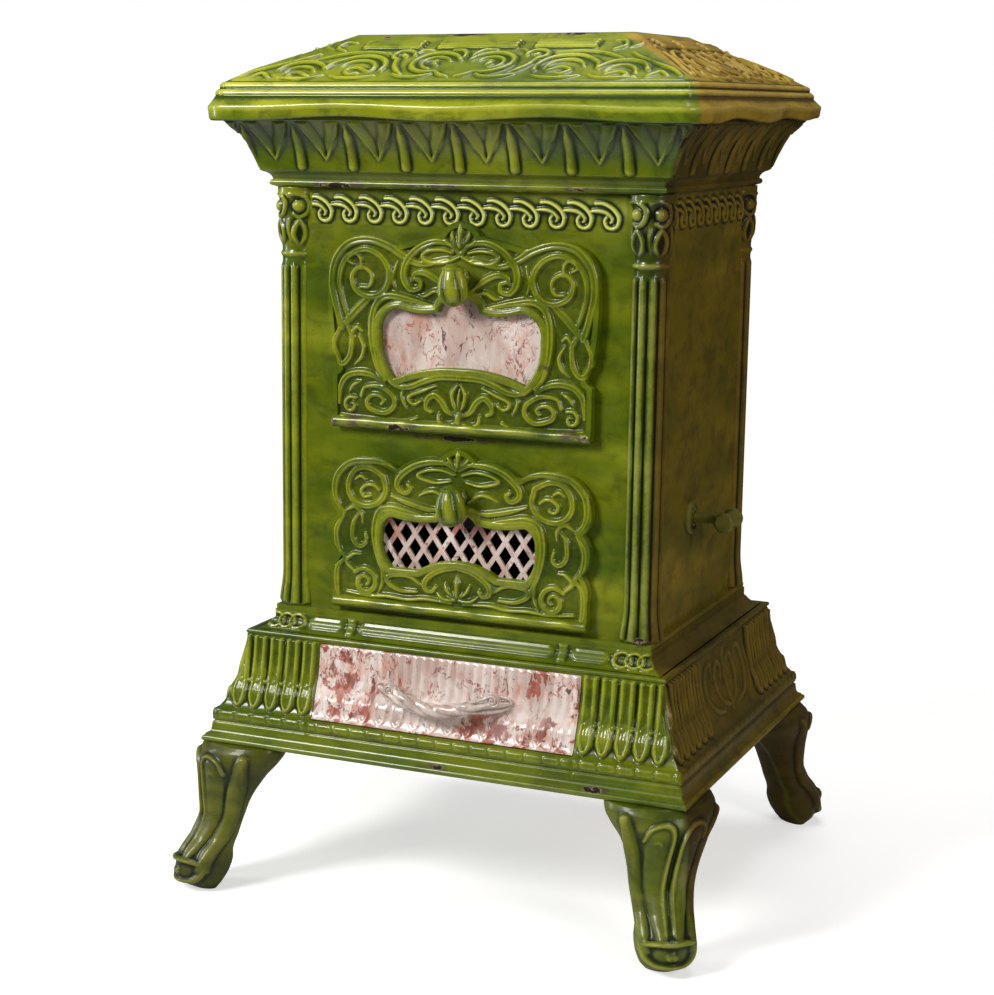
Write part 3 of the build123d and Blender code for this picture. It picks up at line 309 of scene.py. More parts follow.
# -------------------- outlines
def arc_points(start: Point, middle: Point, end: Point, count: int = 10) -> list[Point]:
    """Points on the circle through three points, from start up to just before end."""
    ax, ay, bx, by, cx, cy = *start, *middle, *end
    d = 2 * (ax * (by - cy) + bx * (cy - ay) + cx * (ay - by))
    if abs(d) < 1e-9:
        return [(ax + (cx - ax) * k / count, ay + (cy - ay) * k / count) for k in range(count)]
    a2, b2, c2 = ax * ax + ay * ay, bx * bx + by * by, cx * cx + cy * cy
    ox = (a2 * (by - cy) + b2 * (cy - ay) + c2 * (ay - by)) / d
    oy = (a2 * (cx - bx) + b2 * (ax - cx) + c2 * (bx - ax)) / d
    first, mid, last = (math.atan2(y - oy, x - ox) for x, y in (start, middle, end))
    turn = (last - first) % math.tau
    if (mid - first) % math.tau > turn:
        turn -= math.tau
    radius = math.hypot(ax - ox, ay - oy)
    return [(ox + radius * math.cos(first + turn * k / count),
             oy + radius * math.sin(first + turn * k / count)) for k in range(count)]


def outline_points(steps: Sequence) -> Array:
    """Closed symmetric outline from half a chain of arcs and lines.

    Args:
        steps: a start point, then (end,) for a line or (middle, end) for an arc.

    Returns:
        Points round the whole outline.
    """
    at = steps[0]
    half: list[Point] = []
    for step in steps[1:]:
        half += [at] if len(step) == 1 else arc_points(at, step[0], step[1])
        at = step[-1]
    half.append(at)
    left = [(-x, y) for x, y in reversed(half) if x > 1e-6]
    return np.array(half + left)


def distance_to(outline: Array, points: Array) -> Pair:
    """Signed distance to a closed outline, negative inside, and the nearest points on it."""
    best = np.full(len(points), 1e9)
    nearest = np.zeros_like(points)
    crossings = np.zeros(len(points), int)
    for a, b in zip(outline, np.roll(outline, -1, axis=0)):
        span = b - a
        length = span @ span
        if length < 1e-12:
            continue
        t = np.clip(((points - a) @ span) / length, 0, 1)
        foot = a + t[:, None] * span
        gap = np.hypot(*(points - foot).T)
        closer = gap < best
        best[closer] = gap[closer]
        nearest[closer] = foot[closer]
        straddles = (a[1] > points[:, 1]) != (b[1] > points[:, 1])
        if a[1] != b[1]:
            cross = a[0] + (points[:, 1] - a[1]) / (b[1] - a[1]) * span[0]
            crossings += straddles & (points[:, 0] < cross)
    return np.where(crossings % 2 == 1, -best, best), nearest


# -------------------- node trees
def srgb(red: float, green: float, blue: float) -> Colour:
    """Linear colour of an 8-bit sRGB one."""
    def one(value: float) -> float:
        """Linear value of one channel."""
        v = value / 255
        return v / 12.92 if v <= 0.04045 else ((v + 0.055) / 1.055) ** 2.4

    return one(red), one(green), one(blue), 1.0


class Tree:
    """Writes shader nodes with few words."""

    def __init__(self, tree: bpy.types.NodeTree) -> None:
        """Takes an empty node tree."""
        self.tree = tree

    def add(self, kind: str, inputs: dict | None = None, **settings: object) -> Node:
        """Adds a node.

        Args:
            kind: node type without its ShaderNode prefix.
            inputs: values or sockets by input name or index.
            settings: properties of the node.

        Returns:
            The new node.
        """
        node = self.tree.nodes.new(kind if kind.startswith("Node") else "ShaderNode" + kind)
        for name, value in settings.items():
            setattr(node, name, value)
        self.feed(node, inputs or {})
        return node

    def feed(self, node: Node, inputs: dict) -> None:
        """Gives inputs of a node, by name or index, their values or sockets."""
        for key, value in inputs.items():
            if isinstance(value, Socket):
                self.tree.links.new(value, node.inputs[key])
            else:
                node.inputs[key].default_value = value

    def group(self, name: str, inputs: dict) -> Node:
        """Adds one of the shared groups."""
        return self.add("Group", inputs, node_tree=bpy.data.node_groups[name])

    def noise(self, where: Socket, scale: float, detail: float = 3.0,
              rough: float = 0.55, distort: float = 0.0) -> Socket:
        """Noise value at a place."""
        return self.add("TexNoise", {"Vector": where, "Scale": scale, "Detail": detail,
                                     "Roughness": rough, "Distortion": distort}).outputs[0]

    def band(self, value: Socket, low: float, high: float,
             to_low: float = 0.0, to_high: float = 1.0) -> Socket:
        """Smooth step of a value between two limits."""
        return self.add("MapRange", {0: value, 1: low, 2: high, 3: to_low, 4: to_high},
                        interpolation_type="SMOOTHSTEP").outputs[0]

    def math(self, operation: str, *values: object) -> Socket:
        """Arithmetic on sockets and numbers."""
        return self.add("Math", dict(enumerate(values)), operation=operation).outputs[0]

    def times(self, first: object, second: object) -> Socket:
        """Product of two sockets or numbers."""
        return self.math("MULTIPLY", first, second)

    def plus(self, first: object, second: object) -> Socket:
        """Sum of two sockets or numbers."""
        return self.math("ADD", first, second)

    def minus(self, first: object, second: object) -> Socket:
        """Difference of two sockets or numbers."""
        return self.math("SUBTRACT", first, second)

    def mix(self, share: object, first: object, second: object) -> Socket:
        """Mixes two colours."""
        return self.add("Mix", {0: share, 6: first, 7: second}, data_type="RGBA").outputs[2]

    def stretched(self, where: Socket, scale: Point3) -> Socket:
        """Coordinates scaled on their own axes."""
        return self.add("Mapping", {"Vector": where, "Scale": scale}).outputs[0]


@dataclass(frozen=True)
class Shared:
    """Names of the node groups that the finishes share."""

    glaze: str = "glaze_colour"
    # group that masks the faces which get painted shade and warm light
    side: str = "side_mask"
    wear: str = "worn_places"
    chips: str = "enamel_chips"
    marble: str = "marbling"
    peel: str = "surface_bump"


def new_group(name: str, inputs: dict[str, tuple[str, object]],
              outputs: dict[str, str]) -> tuple[Tree, bpy.types.NodeOutputs, Node]:
    """Makes an empty node group.

    Args:
        name: the group's name.
        inputs: socket type and default by name.
        outputs: socket type by name.

    Returns:
        Its tree, the sockets that it is given and its output node.
    """
    group = bpy.data.node_groups.new(name, "ShaderNodeTree")
    for label, (kind, default) in inputs.items():
        socket = group.interface.new_socket(name=label, in_out="INPUT", socket_type=kind)
        if default is not None:
            socket.default_value = default
    for label, kind in outputs.items():
        group.interface.new_socket(name=label, in_out="OUTPUT", socket_type=kind)
    tree = Tree(group)
    return tree, tree.add("NodeGroupInput").outputs, tree.add("NodeGroupOutput")


FLOAT, VECTOR, RGBA = "NodeSocketFloat", "NodeSocketVector", "NodeSocketColor"


def make_glaze_group() -> None:
    """Colour of a majolica glaze that runs pale off the ridges and pools dark in the hollows,
    with painted highlight on the crests and painted shade in the hollows as well.
    """
    tree, given, out = new_group(
        Shared.glaze,
        {"Place": (VECTOR, None), "Relief": (FLOAT, 0.0), "Ground": (RGBA, (0, 0, 0, 1)),
         "Ridge": (RGBA, (0, 0, 0, 1)), "Pool": (RGBA, (0, 0, 0, 1)),
         "Cast": (RGBA, (0, 0, 0, 1)), "Worn": (FLOAT, 0.5), "Mottle": (FLOAT, 0.42)},
        {"Colour": RGBA})
    place, relief = given["Place"], given["Relief"]
    streaks = tree.stretched(place, (1, 1, 2.4))
    clouds = tree.band(tree.noise(streaks, 6.5, 4, 0.55, 0.3), 0.36, 0.64)
    ground = tree.mix(clouds, given["Ground"], given["Cast"])
    bright = tree.band(tree.noise(tree.stretched(place, (1.3, 1.3, 3.4)), 5.0, 3, 0.5), 0.50, 0.72)
    ground = tree.mix(tree.times(bright, 0.5), ground, given["Ridge"])
    mottle = tree.band(tree.noise(tree.stretched(place, (1, 1, 1.6)), 30.0, 5, 0.65, 0.5),
                       0.44, 0.70)
    ground = tree.mix(tree.times(mottle, given["Mottle"]), ground, given["Pool"])
    fine = tree.noise(place, 210.0, 4, 0.65)
    patchy = tree.noise(place, 34.0, 4, 0.6)
    ragged = tree.plus(tree.times(fine, 0.5), tree.times(patchy, 0.7))
    # crests take the ridge colour: thinner glaze and painted highlight
    proud = tree.plus(relief, tree.minus(ragged, 0.6))
    crest_and_highlight = tree.times(tree.band(proud, 0.12, 0.75), given["Worn"])
    colour = tree.mix(crest_and_highlight, ground, given["Ridge"])
    # hollows take the pool colour: pooled glaze and painted shade
    colour = tree.mix(tree.band(tree.minus(relief, tree.times(fine, 0.25)),
                                -0.10, -0.50), colour, given["Pool"])
    speck = tree.band(tree.noise(place, 640.0, 2, 0.5), 0.64, 0.74)
    colour = tree.mix(tree.times(speck, 0.4), colour, given["Pool"])
    tree.feed(out, {"Colour": colour})


def make_side_shade_group() -> None:
    """Mask of the castings' faces on the right and at the back, which get painted shade and warm
    light.
    """
    tree, given, out = new_group(Shared.side, {"Place": (VECTOR, None)}, {"Side": FLOAT})
    x, y, z = tree.add("SeparateXYZ", {0: given["Place"]}).outputs
    far_x, far_y = ((side - COLUMN_FLANK) * MM for side in (BODY_X, BODY_Y))

    def facing(ahead: Socket, across: Socket, far: float, wide: float) -> Socket:
        """Mask of what lies further ahead than to either side."""
        beside = tree.minus(tree.math("ABSOLUTE", across), wide)
        return tree.band(tree.minus(tree.minus(ahead, far), beside), -0.004, 0.006)

    shaded_faces = tree.math("MAXIMUM", facing(x, y, far_x, far_y), facing(y, x, far_y, far_x))
    below_top = tree.band(z, 0.8412, 0.8404)
    tree.feed(out, {"Side": tree.times(shaded_faces, below_top)})


@dataclass(frozen=True)
class WornSpot:
    """Place where the enamel has suffered, in millimetres."""

    place: Point3
    reach: Point3
    depth: float = 0.36


WORN_SPOTS = (
    WornSpot((-120, -155, 473), (34, 16, 18), 0.27),
    WornSpot((-62, -157, 469), (55, 9, 8), 0.25),
    WornSpot((118, -157, 471), (24, 14, 16), 0.27),
    WornSpot((92, -157, 535), (16, 9, 7), 0.24),
    WornSpot((-125, -152, 700), (60, 10, 5), 0.40),
    WornSpot((-20, -153, 700), (55, 10, 4), 0.34),
    WornSpot((120, -153, 700), (40, 10, 4), 0.30),
    WornSpot((-25, -84, 841), (34, 9, 7), 0.40),
    WornSpot((88, -84, 841), (34, 9, 6), 0.36),
    WornSpot((-104, -92, 838), (14, 9, 6), 0.34),
    WornSpot((5, -206, 152), (15, 7, 6), 0.40),
    WornSpot((165, -206, 152), (17, 7, 6), 0.42),
    WornSpot((-10, -144, 461), (84, 4, 4), 0.30),
    WornSpot((186, -151, 284), (14, 12, 6), 0.34),
    WornSpot((-188, -151, 284), (12, 12, 6), 0.30),
    WornSpot((0, -190, 767), (240, 12, 5), 0.16),
    WornSpot((104, -178, 268), (6, 16, 8), 0.36),
    WornSpot((-120, -178, 268), (6, 16, 8), 0.34),
)


def make_wear_group() -> None:
    """How far each place of the stove is worn, from single spots."""
    tree, given, out = new_group(Shared.wear, {"Place": (VECTOR, None)}, {"Spread": FLOAT})
    total = None
    for spot in WORN_SPOTS:
        shift = tuple(-p / r for p, r in zip(spot.place, spot.reach))
        near = tree.add("Mapping", {"Vector": given["Place"], "Location": shift,
                                    "Scale": tuple(1000.0 / r for r in spot.reach)}).outputs[0]
        away = tree.add("VectorMath", {0: near}, operation="LENGTH").outputs["Value"]
        here = tree.band(away, 1.15, 0.25, 0.0, spot.depth)
        total = here if total is None else tree.math("MAXIMUM", total, here)
    tree.feed(out, {"Spread": total})


def make_chip_group() -> None:
    """Mask of places where the enamel has flaked off down to dark iron."""
    tree, given, out = new_group(
        Shared.chips, {"Place": (VECTOR, None), "Spread": (FLOAT, 0.0)},
        {"Chip": FLOAT, "Rim": FLOAT})
    place = given["Place"]
    big = tree.noise(place, 38.0, 5, 0.62, 0.6)
    small = tree.noise(place, 190.0, 4, 0.6)
    flaking = tree.plus(tree.plus(big, tree.times(small, 0.28)), given["Spread"])
    chip = tree.band(flaking, 0.965, 0.985)
    rim = tree.minus(tree.band(flaking, 0.93, 0.955), chip)
    tree.feed(out, {"Chip": chip, "Rim": rim})


def make_marble_group() -> None:
    """Off-white enamel with torn brick-red runs, thin veins and dark specks."""
    tree, given, out = new_group(Shared.marble, {"Place": (VECTOR, None), "Red": (FLOAT, 0.5),
                                                 "Patches": (FLOAT, 0.95)},
                                 {"Colour": RGBA, "Vein": FLOAT})
    place = given["Place"]
    long_ = tree.stretched(place, (1, 1, 0.6))
    bend = tree.add("TexNoise", {"Vector": long_, "Scale": 30.0, "Detail": 4.0,
                                 "Roughness": 0.6}).outputs["Color"]
    push = tree.add("VectorMath", {0: bend, 1: (0.5, 0.5, 0.5)}, operation="SUBTRACT").outputs[0]
    push = tree.add("VectorMath", {0: push, "Scale": 0.03}, operation="SCALE").outputs[0]
    bent = tree.add("VectorMath", {0: long_, 1: push}, operation="ADD").outputs[0]
    across = tree.add("SeparateXYZ", {0: place}).outputs[0]
    lean = tree.band(across, -0.01, -0.11, 0.0, 0.13)
    cluster = tree.band(tree.plus(tree.noise(place, 11.0, 2, 0.5), lean), 0.40, 0.60)
    patch = tree.band(tree.plus(tree.noise(bent, 48.0, 5, 0.62, 0.5),
                                tree.times(lean, 0.25)), 0.525, 0.56)
    patch = tree.times(tree.times(patch, tree.band(cluster, 0, 1, 0.12, 1.0)), given["Patches"])
    ribbon = tree.math("ABSOLUTE", tree.minus(tree.noise(bent, 62.0, 3, 0.6, 0.8), 0.5))
    vein = tree.times(tree.band(ribbon, 0.022, 0.007),
                      tree.band(tree.noise(place, 40.0, 2), 0.40, 0.55))
    red = tree.times(tree.math("MAXIMUM", patch, tree.times(vein, 0.9)), given["Red"])
    cloud = tree.band(tree.noise(bent, 24.0, 4, 0.6), 0.38, 0.64)
    base = tree.mix(cloud, srgb(224, 210, 204), srgb(192, 172, 164))
    flush = tree.times(tree.band(tree.noise(bent, 70.0, 5, 0.65), 0.48, 0.64),
                       tree.band(cluster, 0, 1, 0.2, 0.7))
    base = tree.mix(flush, base, srgb(206, 150, 132))
    deep = tree.mix(tree.band(tree.noise(bent, 90.0, 4, 0.65), 0.42, 0.62),
                    srgb(160, 74, 52), srgb(112, 34, 20))
    colour = tree.mix(red, base, deep)
    speck = tree.times(tree.band(tree.noise(bent, 150.0, 4, 0.65), 0.61, 0.66),
                       tree.band(cluster, 0, 1, 0.5, 0.9))
    colour = tree.mix(speck, colour, srgb(84, 56, 50))
    tree.feed(out, {"Colour": colour, "Vein": red})


def make_peel_group() -> None:
    """Heights of orange peel, pitting and casting grain."""
    tree, given, out = new_group(
        Shared.peel, {"Place": (VECTOR, None), "Peel": (FLOAT, 1.0), "Grain": (FLOAT, 0.0)},
        {"Height": FLOAT})
    place = given["Place"]
    wave = tree.times(tree.noise(place, 90.0, 3, 0.5), given["Peel"])
    dents = tree.times(tree.noise(place, 22.0, 2, 0.5), given["Peel"])
    grain = tree.times(tree.noise(place, 900.0, 3, 0.6), given["Grain"])
    tree.feed(out, {"Height": tree.plus(tree.plus(wave, dents), grain)})


def start_material(name: str) -> tuple[Material, Tree, Node, Socket]:
    """New material with its Principled node and Object coordinates.

    Args:
        name: the material's name.

    Returns:
        The material, its tree, the Principled node and the coordinates.
    """
    material = bpy.data.materials.new(name)
    material.use_nodes = True
    material.node_tree.nodes.clear()
    tree = Tree(material.node_tree)
    shader = tree.add("BsdfPrincipled")
    tree.add("OutputMaterial", {"Surface": shader.outputs[0]})
    place = tree.add("TexCoord").outputs["Object"]
    return material, tree, shader, place


def link_bump(tree: Tree, shader: Node, height: Socket, strength: float, distance: float) -> None:
    """Feeds a height to the shader as a bump."""
    bump = tree.add("Bump", {"Height": height, "Strength": strength, "Distance": distance})
    tree.feed(shader, {"Normal": bump.outputs[0]})


@dataclass(frozen=True)
class GlazeColours:
    """Colours of one glaze: plain, where it lies thinner, on ridges (pale glaze with painted
    highlight) and in pools (pooled glaze with painted shade).
    """

    ground: Colour
    cast: Colour
    ridge: Colour
    pool: Colour
    # share of the ridge colour on crests: thinner glaze and painted highlight
    worn: float = 0.6
    mottle: float = 0.42


GREEN = GlazeColours(srgb(104, 114, 2), srgb(72, 92, 2), srgb(166, 170, 40), srgb(22, 36, 0), 0.55)
# Painted shade and warm light: darker, warmer copy of the green for the faces on the right and at
# the back.
SIDE_SHADE_OLIVE = GlazeColours(srgb(112, 94, 8), srgb(92, 82, 6), srgb(156, 128, 36), srgb(34, 26, 0), 0.5)
# Painted shade and warm light, darker still: for the sides of the cornice, plinth and right-hand
# columns.
DARKER_SIDE_SHADE = GlazeColours(srgb(94, 76, 4), srgb(74, 64, 4), srgb(134, 108, 30),
                          srgb(26, 20, 0), 0.5)
# Painted shade: darker copy of the green for the two columns on the right.
RIGHT_COLUMN_SHADE = GlazeColours(srgb(72, 84, 4), srgb(46, 62, 2), srgb(150, 158, 62), srgb(8, 18, 0), 0.7)
PALE_GREEN = GlazeColours(srgb(134, 142, 8), srgb(100, 118, 8), srgb(194, 198, 70),
                          srgb(46, 66, 0), 0.48, 0.66)
WAVE_GREEN = GlazeColours(srgb(112, 120, 14), srgb(92, 108, 10), srgb(196, 200, 104),
                          srgb(20, 34, 0), 1.0)
# Painted warm light and shade: warmer copy of the lid's green for its slopes on the right and at
# the back.
LID_SIDE_SHADE = GlazeColours(srgb(172, 142, 44), srgb(142, 114, 30), srgb(196, 168, 84), srgb(74, 56, 6), 0.5)
LEG_GREEN = GlazeColours(srgb(92, 96, 4), srgb(66, 80, 2), srgb(150, 152, 54),
                         srgb(20, 30, 0), 0.55)
# Painted shade: darker copy of the legs' green for the two legs on the left.
LEG_SHADE = GlazeColours(srgb(74, 76, 2), srgb(52, 62, 2), srgb(124, 124, 42),
                         srgb(14, 22, 0), 0.55)
# Painted shade and warm light: darker, warmer copy of the legs' green for their faces on the right
# and at the back.
LEG_SIDE_SHADE = GlazeColours(srgb(72, 58, 4), srgb(56, 44, 4), srgb(112, 92, 24), srgb(24, 18, 0), 0.5)
KNOB_GREEN = GlazeColours(srgb(112, 108, 36), srgb(92, 88, 24), srgb(168, 162, 84),
                          srgb(46, 42, 8), 0.6)


@dataclass(frozen=True)
class MajolicaGlaze:
    """Glossy glaze on cast iron with flaked edges, green in front; its faces on the right and at
    the back take a darker, warmer set of colours as painted shade and warm light.
    """

    name: str
    front: GlazeColours = GREEN
    # colours of the painted shade and warm light on the faces on the right and at the back
    side: GlazeColours = SIDE_SHADE_OLIVE
    bare: Colour = srgb(40, 31, 22)
    roughness: float = 0.3
    coat: float = 0.5

    def _glaze(self, tree: Tree, place: Socket, relief: Socket, colours: GlazeColours) -> Socket:
        """Colour of one of the two glazes."""
        inputs = {"Place": place, "Relief": relief, "Ground": colours.ground,
                  "Ridge": colours.ridge, "Pool": colours.pool, "Cast": colours.cast,
                  "Worn": colours.worn, "Mottle": colours.mottle}
        return tree.group(Shared.glaze, inputs).outputs["Colour"]

    def make(self) -> Material:
        """Builds the node material."""
        material, tree, shader, place = start_material(self.name)
        relief = tree.add("Attribute", attribute_name="relief").outputs["Fac"]
        # painted shade and warm light: the faces on the right and at the back take the second,
        # darker and warmer colours
        side = tree.group(Shared.side, {"Place": place}).outputs["Side"]
        glaze = tree.mix(side, self._glaze(tree, place, relief, self.front),
                         self._glaze(tree, place, relief, self.side))
        wear = tree.group(Shared.wear, {"Place": place}).outputs["Spread"]
        chips = tree.group(Shared.chips, {"Place": place, "Spread": wear})
        dirt = tree.plus(wear, tree.band(tree.noise(place, 70.0, 5, 0.65), 0.3, 0.7, -0.2, 0.2))
        soot = tree.band(dirt, 0.14, 0.36, 0.0, 0.8)
        colour = tree.mix(soot, glaze, srgb(70, 58, 46))
        colour = tree.mix(tree.times(chips.outputs["Rim"], 0.7), colour, srgb(168, 150, 112))
        colour = tree.mix(chips.outputs["Chip"], colour, self.bare)
        peel = tree.group(Shared.peel, {"Place": place, "Peel": 1.0, "Grain": 0.03})
        height = tree.minus(peel.outputs["Height"], tree.times(chips.outputs["Chip"], 0.6))
        link_bump(tree, shader, height, 0.45, 0.0008)
        dull = tree.math("MAXIMUM", chips.outputs["Chip"], tree.times(side, 0.62))
        uneven = tree.band(tree.noise(place, 60.0, 3), 0.3, 0.7, self.roughness,
                           self.roughness + 0.12)
        tree.feed(shader, {"Base Color": colour,
                           "Roughness": tree.plus(tree.band(dull, 0, 1, 0, 0.5), uneven),
                           "Coat Weight": tree.band(dull, 0, 1, self.coat, 0.0),
                           "Coat Roughness": 0.14, "Specular IOR Level": 0.22})
        return material


@dataclass(frozen=True)
class MarbledEnamel:
    """Off-white enamel with brick-red marbling."""

    name: str
    red: float = 0.85
    sooty: float = 0.0
    patches: float = 0.95

    def make(self) -> Material:
        """Builds the node material."""
        material, tree, shader, place = start_material(self.name)
        marble = tree.group(Shared.marble, {"Place": place, "Red": self.red,
                                            "Patches": self.patches})
        grime = tree.times(tree.band(tree.noise(place, 30.0, 5, 0.65), 0.5, 0.7), self.sooty)
        colour = tree.mix(grime, marble.outputs["Colour"], srgb(90, 70, 54))
        relief = tree.add("Attribute", attribute_name="relief").outputs["Fac"]
        # hollows of the relief are darkened: painted shade
        colour = tree.mix(tree.band(relief, -0.1, -0.7, 0.0, 0.7), colour, srgb(96, 70, 58))
        peel = tree.group(Shared.peel, {"Place": place, "Peel": 0.8, "Grain": 0.02})
        link_bump(tree, shader, peel.outputs["Height"], 0.3, 0.0007)
        vein = marble.outputs["Vein"]
        tree.feed(shader, {"Base Color": colour, "Roughness": tree.band(vein, 0, 1, 0.24, 0.4),
                           "Coat Weight": tree.band(vein, 0, 1, 0.5, 0.2), "Coat Roughness": 0.1})
        return material


@dataclass(frozen=True)
class BareIron:
    """Sooty bare casting with a trace of rust."""

    name: str
    dark: Colour = srgb(44, 40, 37)
    light: Colour = srgb(74, 66, 58)
    rust: float = 0.35
    metallic: float = 0.35

    def make(self) -> Material:
        """Builds the node material."""
        material, tree, shader, place = start_material(self.name)
        colour = tree.mix(tree.band(tree.noise(place, 40.0, 5, 0.6), 0.35, 0.65), self.dark,
                          self.light)
        rust = tree.times(tree.band(tree.noise(place, 70.0, 6, 0.7, 0.5), 0.5, 0.7), self.rust)
        colour = tree.mix(rust, colour, srgb(98, 56, 32))
        peel = tree.group(Shared.peel, {"Place": place, "Peel": 0.6, "Grain": 0.7})
        link_bump(tree, shader, peel.outputs["Height"], 0.5, 0.0006)
        tree.feed(shader, {"Base Color": colour, "Metallic": self.metallic,
                           "Roughness": tree.band(rust, 0, 0.4, 0.48, 0.85)})
        return material


@dataclass(frozen=True)
class FireClay:
    """Rough refractory brick, sooty from use."""

    name: str

    def make(self) -> Material:
        """Builds the node material."""
        material, tree, shader, place = start_material(self.name)
        colour = tree.mix(tree.band(tree.noise(place, 55.0, 5, 0.65), 0.3, 0.7),
                          srgb(168, 142, 112), srgb(132, 108, 84))
        soot = tree.band(tree.noise(place, 12.0, 5, 0.6), 0.4, 0.75, 0.1, 0.8)
        colour = tree.mix(soot, colour, srgb(52, 46, 42))
        peel = tree.group(Shared.peel, {"Place": place, "Peel": 1.0, "Grain": 1.0})
        link_bump(tree, shader, peel.outputs["Height"], 0.8, 0.001)
        tree.feed(shader, {"Base Color": colour, "Roughness": tree.band(soot, 0, 1, 0.92, 0.8)})
        return material


# -------------------- meshes
Shape = Callable[[Array, Array], Pair]


def grid_mesh(name: str, columns: int, rows: int, shape: Shape, wrap: bool = False) -> Object:
    """Grid bent to a shape, with its relief tone stored on its points.

    Args:
        name: the new object's name.
        columns: faces along u.
        rows: faces along v.
        shape: gives places in millimetres and tones for u and v, each from 0 to 1.
        wrap: whether the two ends of u are one seam.

    Returns:
        The new object, not linked to a body.
    """
    mesh = bpy.data.meshes.new(name)
    bm = bmesh.new()
    bmesh.ops.create_grid(bm, x_segments=columns, y_segments=rows, size=0.5)
    bm.to_mesh(mesh)
    bm.free()
    flat = np.empty(len(mesh.vertices) * 3, np.float32)
    mesh.vertices.foreach_get("co", flat)
    uv = flat.reshape(-1, 3)[:, :2].astype(float) + 0.5
    places, tone = shape(uv[:, 0], uv[:, 1])
    mesh.vertices.foreach_set("co", (places * MM).astype(np.float32).ravel())
    store_tone(mesh, tone)
    if wrap:
        edit_mesh(mesh, lambda b: bmesh.ops.remove_doubles(b, verts=b.verts, dist=1e-6))
    smooth_faces(mesh)
    return link_object(name, mesh)


def closed_mesh(name: str, columns: int, rows: int, shape: Shape,
                smooth_ends: bool = False) -> Object:
    """Tube bent to a shape, with both its ends filled.

    Args:
        name: the new object's name.
        columns: faces round it.
        rows: faces along it.
        shape: as for grid_mesh.
        smooth_ends: whether the faces that fill its ends are smooth too.

    Returns:
        The new object, not linked to a body.
    """
    tube = grid_mesh(name, columns, rows, shape, wrap=True)
    edit_mesh(tube.data, lambda b: bmesh.ops.holes_fill(b, edges=b.edges, sides=0))
    edit_mesh(tube.data, lambda b: bmesh.ops.recalc_face_normals(b, faces=b.faces))
    for polygon in tube.data.polygons:
        polygon.use_smooth = smooth_ends or len(polygon.vertices) == 4
    return tube


def smooth_faces(mesh: Mesh) -> None:
    """Shades all of a mesh smooth."""
    for polygon in mesh.polygons:
        polygon.use_smooth = True


def store_tone(mesh: Mesh, tone: Array) -> None:
    """Keeps the relief tone as a point attribute."""
    attribute = mesh.attributes.new("relief", "FLOAT", "POINT")
    attribute.data.foreach_set("value", tone.astype(np.float32))


def edit_mesh(mesh: Mesh, change: Callable[[bmesh.types.BMesh], object]) -> None:
    """Runs one change on a mesh through bmesh."""
    bm = bmesh.new()
    bm.from_mesh(mesh)
    change(bm)
    bm.to_mesh(mesh)
    bm.free()
    mesh.update()


def link_object(name: str, mesh: Mesh) -> Object:
    """Makes an object of a mesh and links it to the scene."""
    obj = bpy.data.objects.new(name, mesh)
    bpy.context.scene.collection.objects.link(obj)
    return obj


def face_outwards(obj: Object, outward: Vector) -> None:
    """Turns a whole sheet over if it faces away from a direction."""
    total = sum((p.normal * p.area for p in obj.data.polygons), Vector())
    if total.dot(outward) < 0:
        edit_mesh(obj.data, lambda b: bmesh.ops.reverse_faces(b, faces=b.faces))
        smooth_faces(obj.data)


@dataclass
class Report:
    """Finishes the pieces as they are made, and counts them."""

    pieces: int = 0
    triangles: int = 0

    def add(self, obj: Object, body: str, material: Material, slot: str = "green_enamel",
            replaces: str | None = None) -> None:
        """Gives one piece its material and fixes it to its body.

        Args:
            obj: the piece.
            body: CAD body that carries it.
            material: its glaze or enamel.
            slot: not used.
            replaces: CAD node that it takes the place of.
        """
        obj.data.materials.append(material)
        if replaces:
            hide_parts(replaces)
        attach(obj, body)
        count = sum(len(p.vertices) - 2 for p in obj.data.polygons)
        self.pieces += 1
        self.triangles += count
        log.info("%s on %s: %d triangles", obj.name, body, count)


# -------------------- profiles
@dataclass(frozen=True)
class Moulding:
    """A moulding's outline as points (overhang beyond half width, height)."""

    points: Array

    def part(self, low: float, high: float) -> "Moulding":
        """The stretch between two shares of the run."""
        run = self.run()
        lo, hi = low * run[-1], high * run[-1]
        at = np.concatenate([[lo], run[(run > lo) & (run < hi)], [hi]])
        return Moulding(np.column_stack([np.interp(at, run, self.points[:, k]) for k in (0, 1)]))

    def run(self) -> Array:
        """Length so far at each point."""
        return np.concatenate([[0], np.cumsum(np.hypot(*np.diff(self.points, axis=0).T))])

    def between(self, low_z: float, high_z: float) -> "Moulding":
        """The stretch between two heights on a line that only rises."""
        z = self.points[:, 1]
        at = np.concatenate([[low_z], z[(z > low_z) & (z < high_z)], [high_z]])
        return Moulding(np.column_stack([np.interp(at, z, self.points[:, 0]), at]))

    def at(self, v: Array) -> tuple[Array, Array, Array, Array]:
        """Overhang, height and outward direction at shares of the run."""
        run = self.run()
        s = v * run[-1]
        out, up = (np.interp(s, run, self.points[:, k]) for k in (0, 1))
        back, ahead = (np.clip(s + step, 0, run[-1]) for step in (-1.2, 1.2))
        along = np.column_stack([np.interp(ahead, run, self.points[:, k])
                                 - np.interp(back, run, self.points[:, k]) for k in (0, 1)])
        along /= np.maximum(1e-9, np.hypot(*along.T))[:, None]
        return out, up, along[:, 1], -along[:, 0]


@dataclass(frozen=True)
class Wall:
    """One side of a mitred moulding: which way it faces and how wide it is at the body."""

    facing: Point
    half: float
    depth: float

    def place(self, along: Array, out: Array, up: Array) -> Array:
        """Points at a distance along the wall, out from the body and up."""
        fx, fy = self.facing
        reach = self.depth + out
        return np.column_stack([fx * reach - fy * along, fy * reach + fx * along, up])


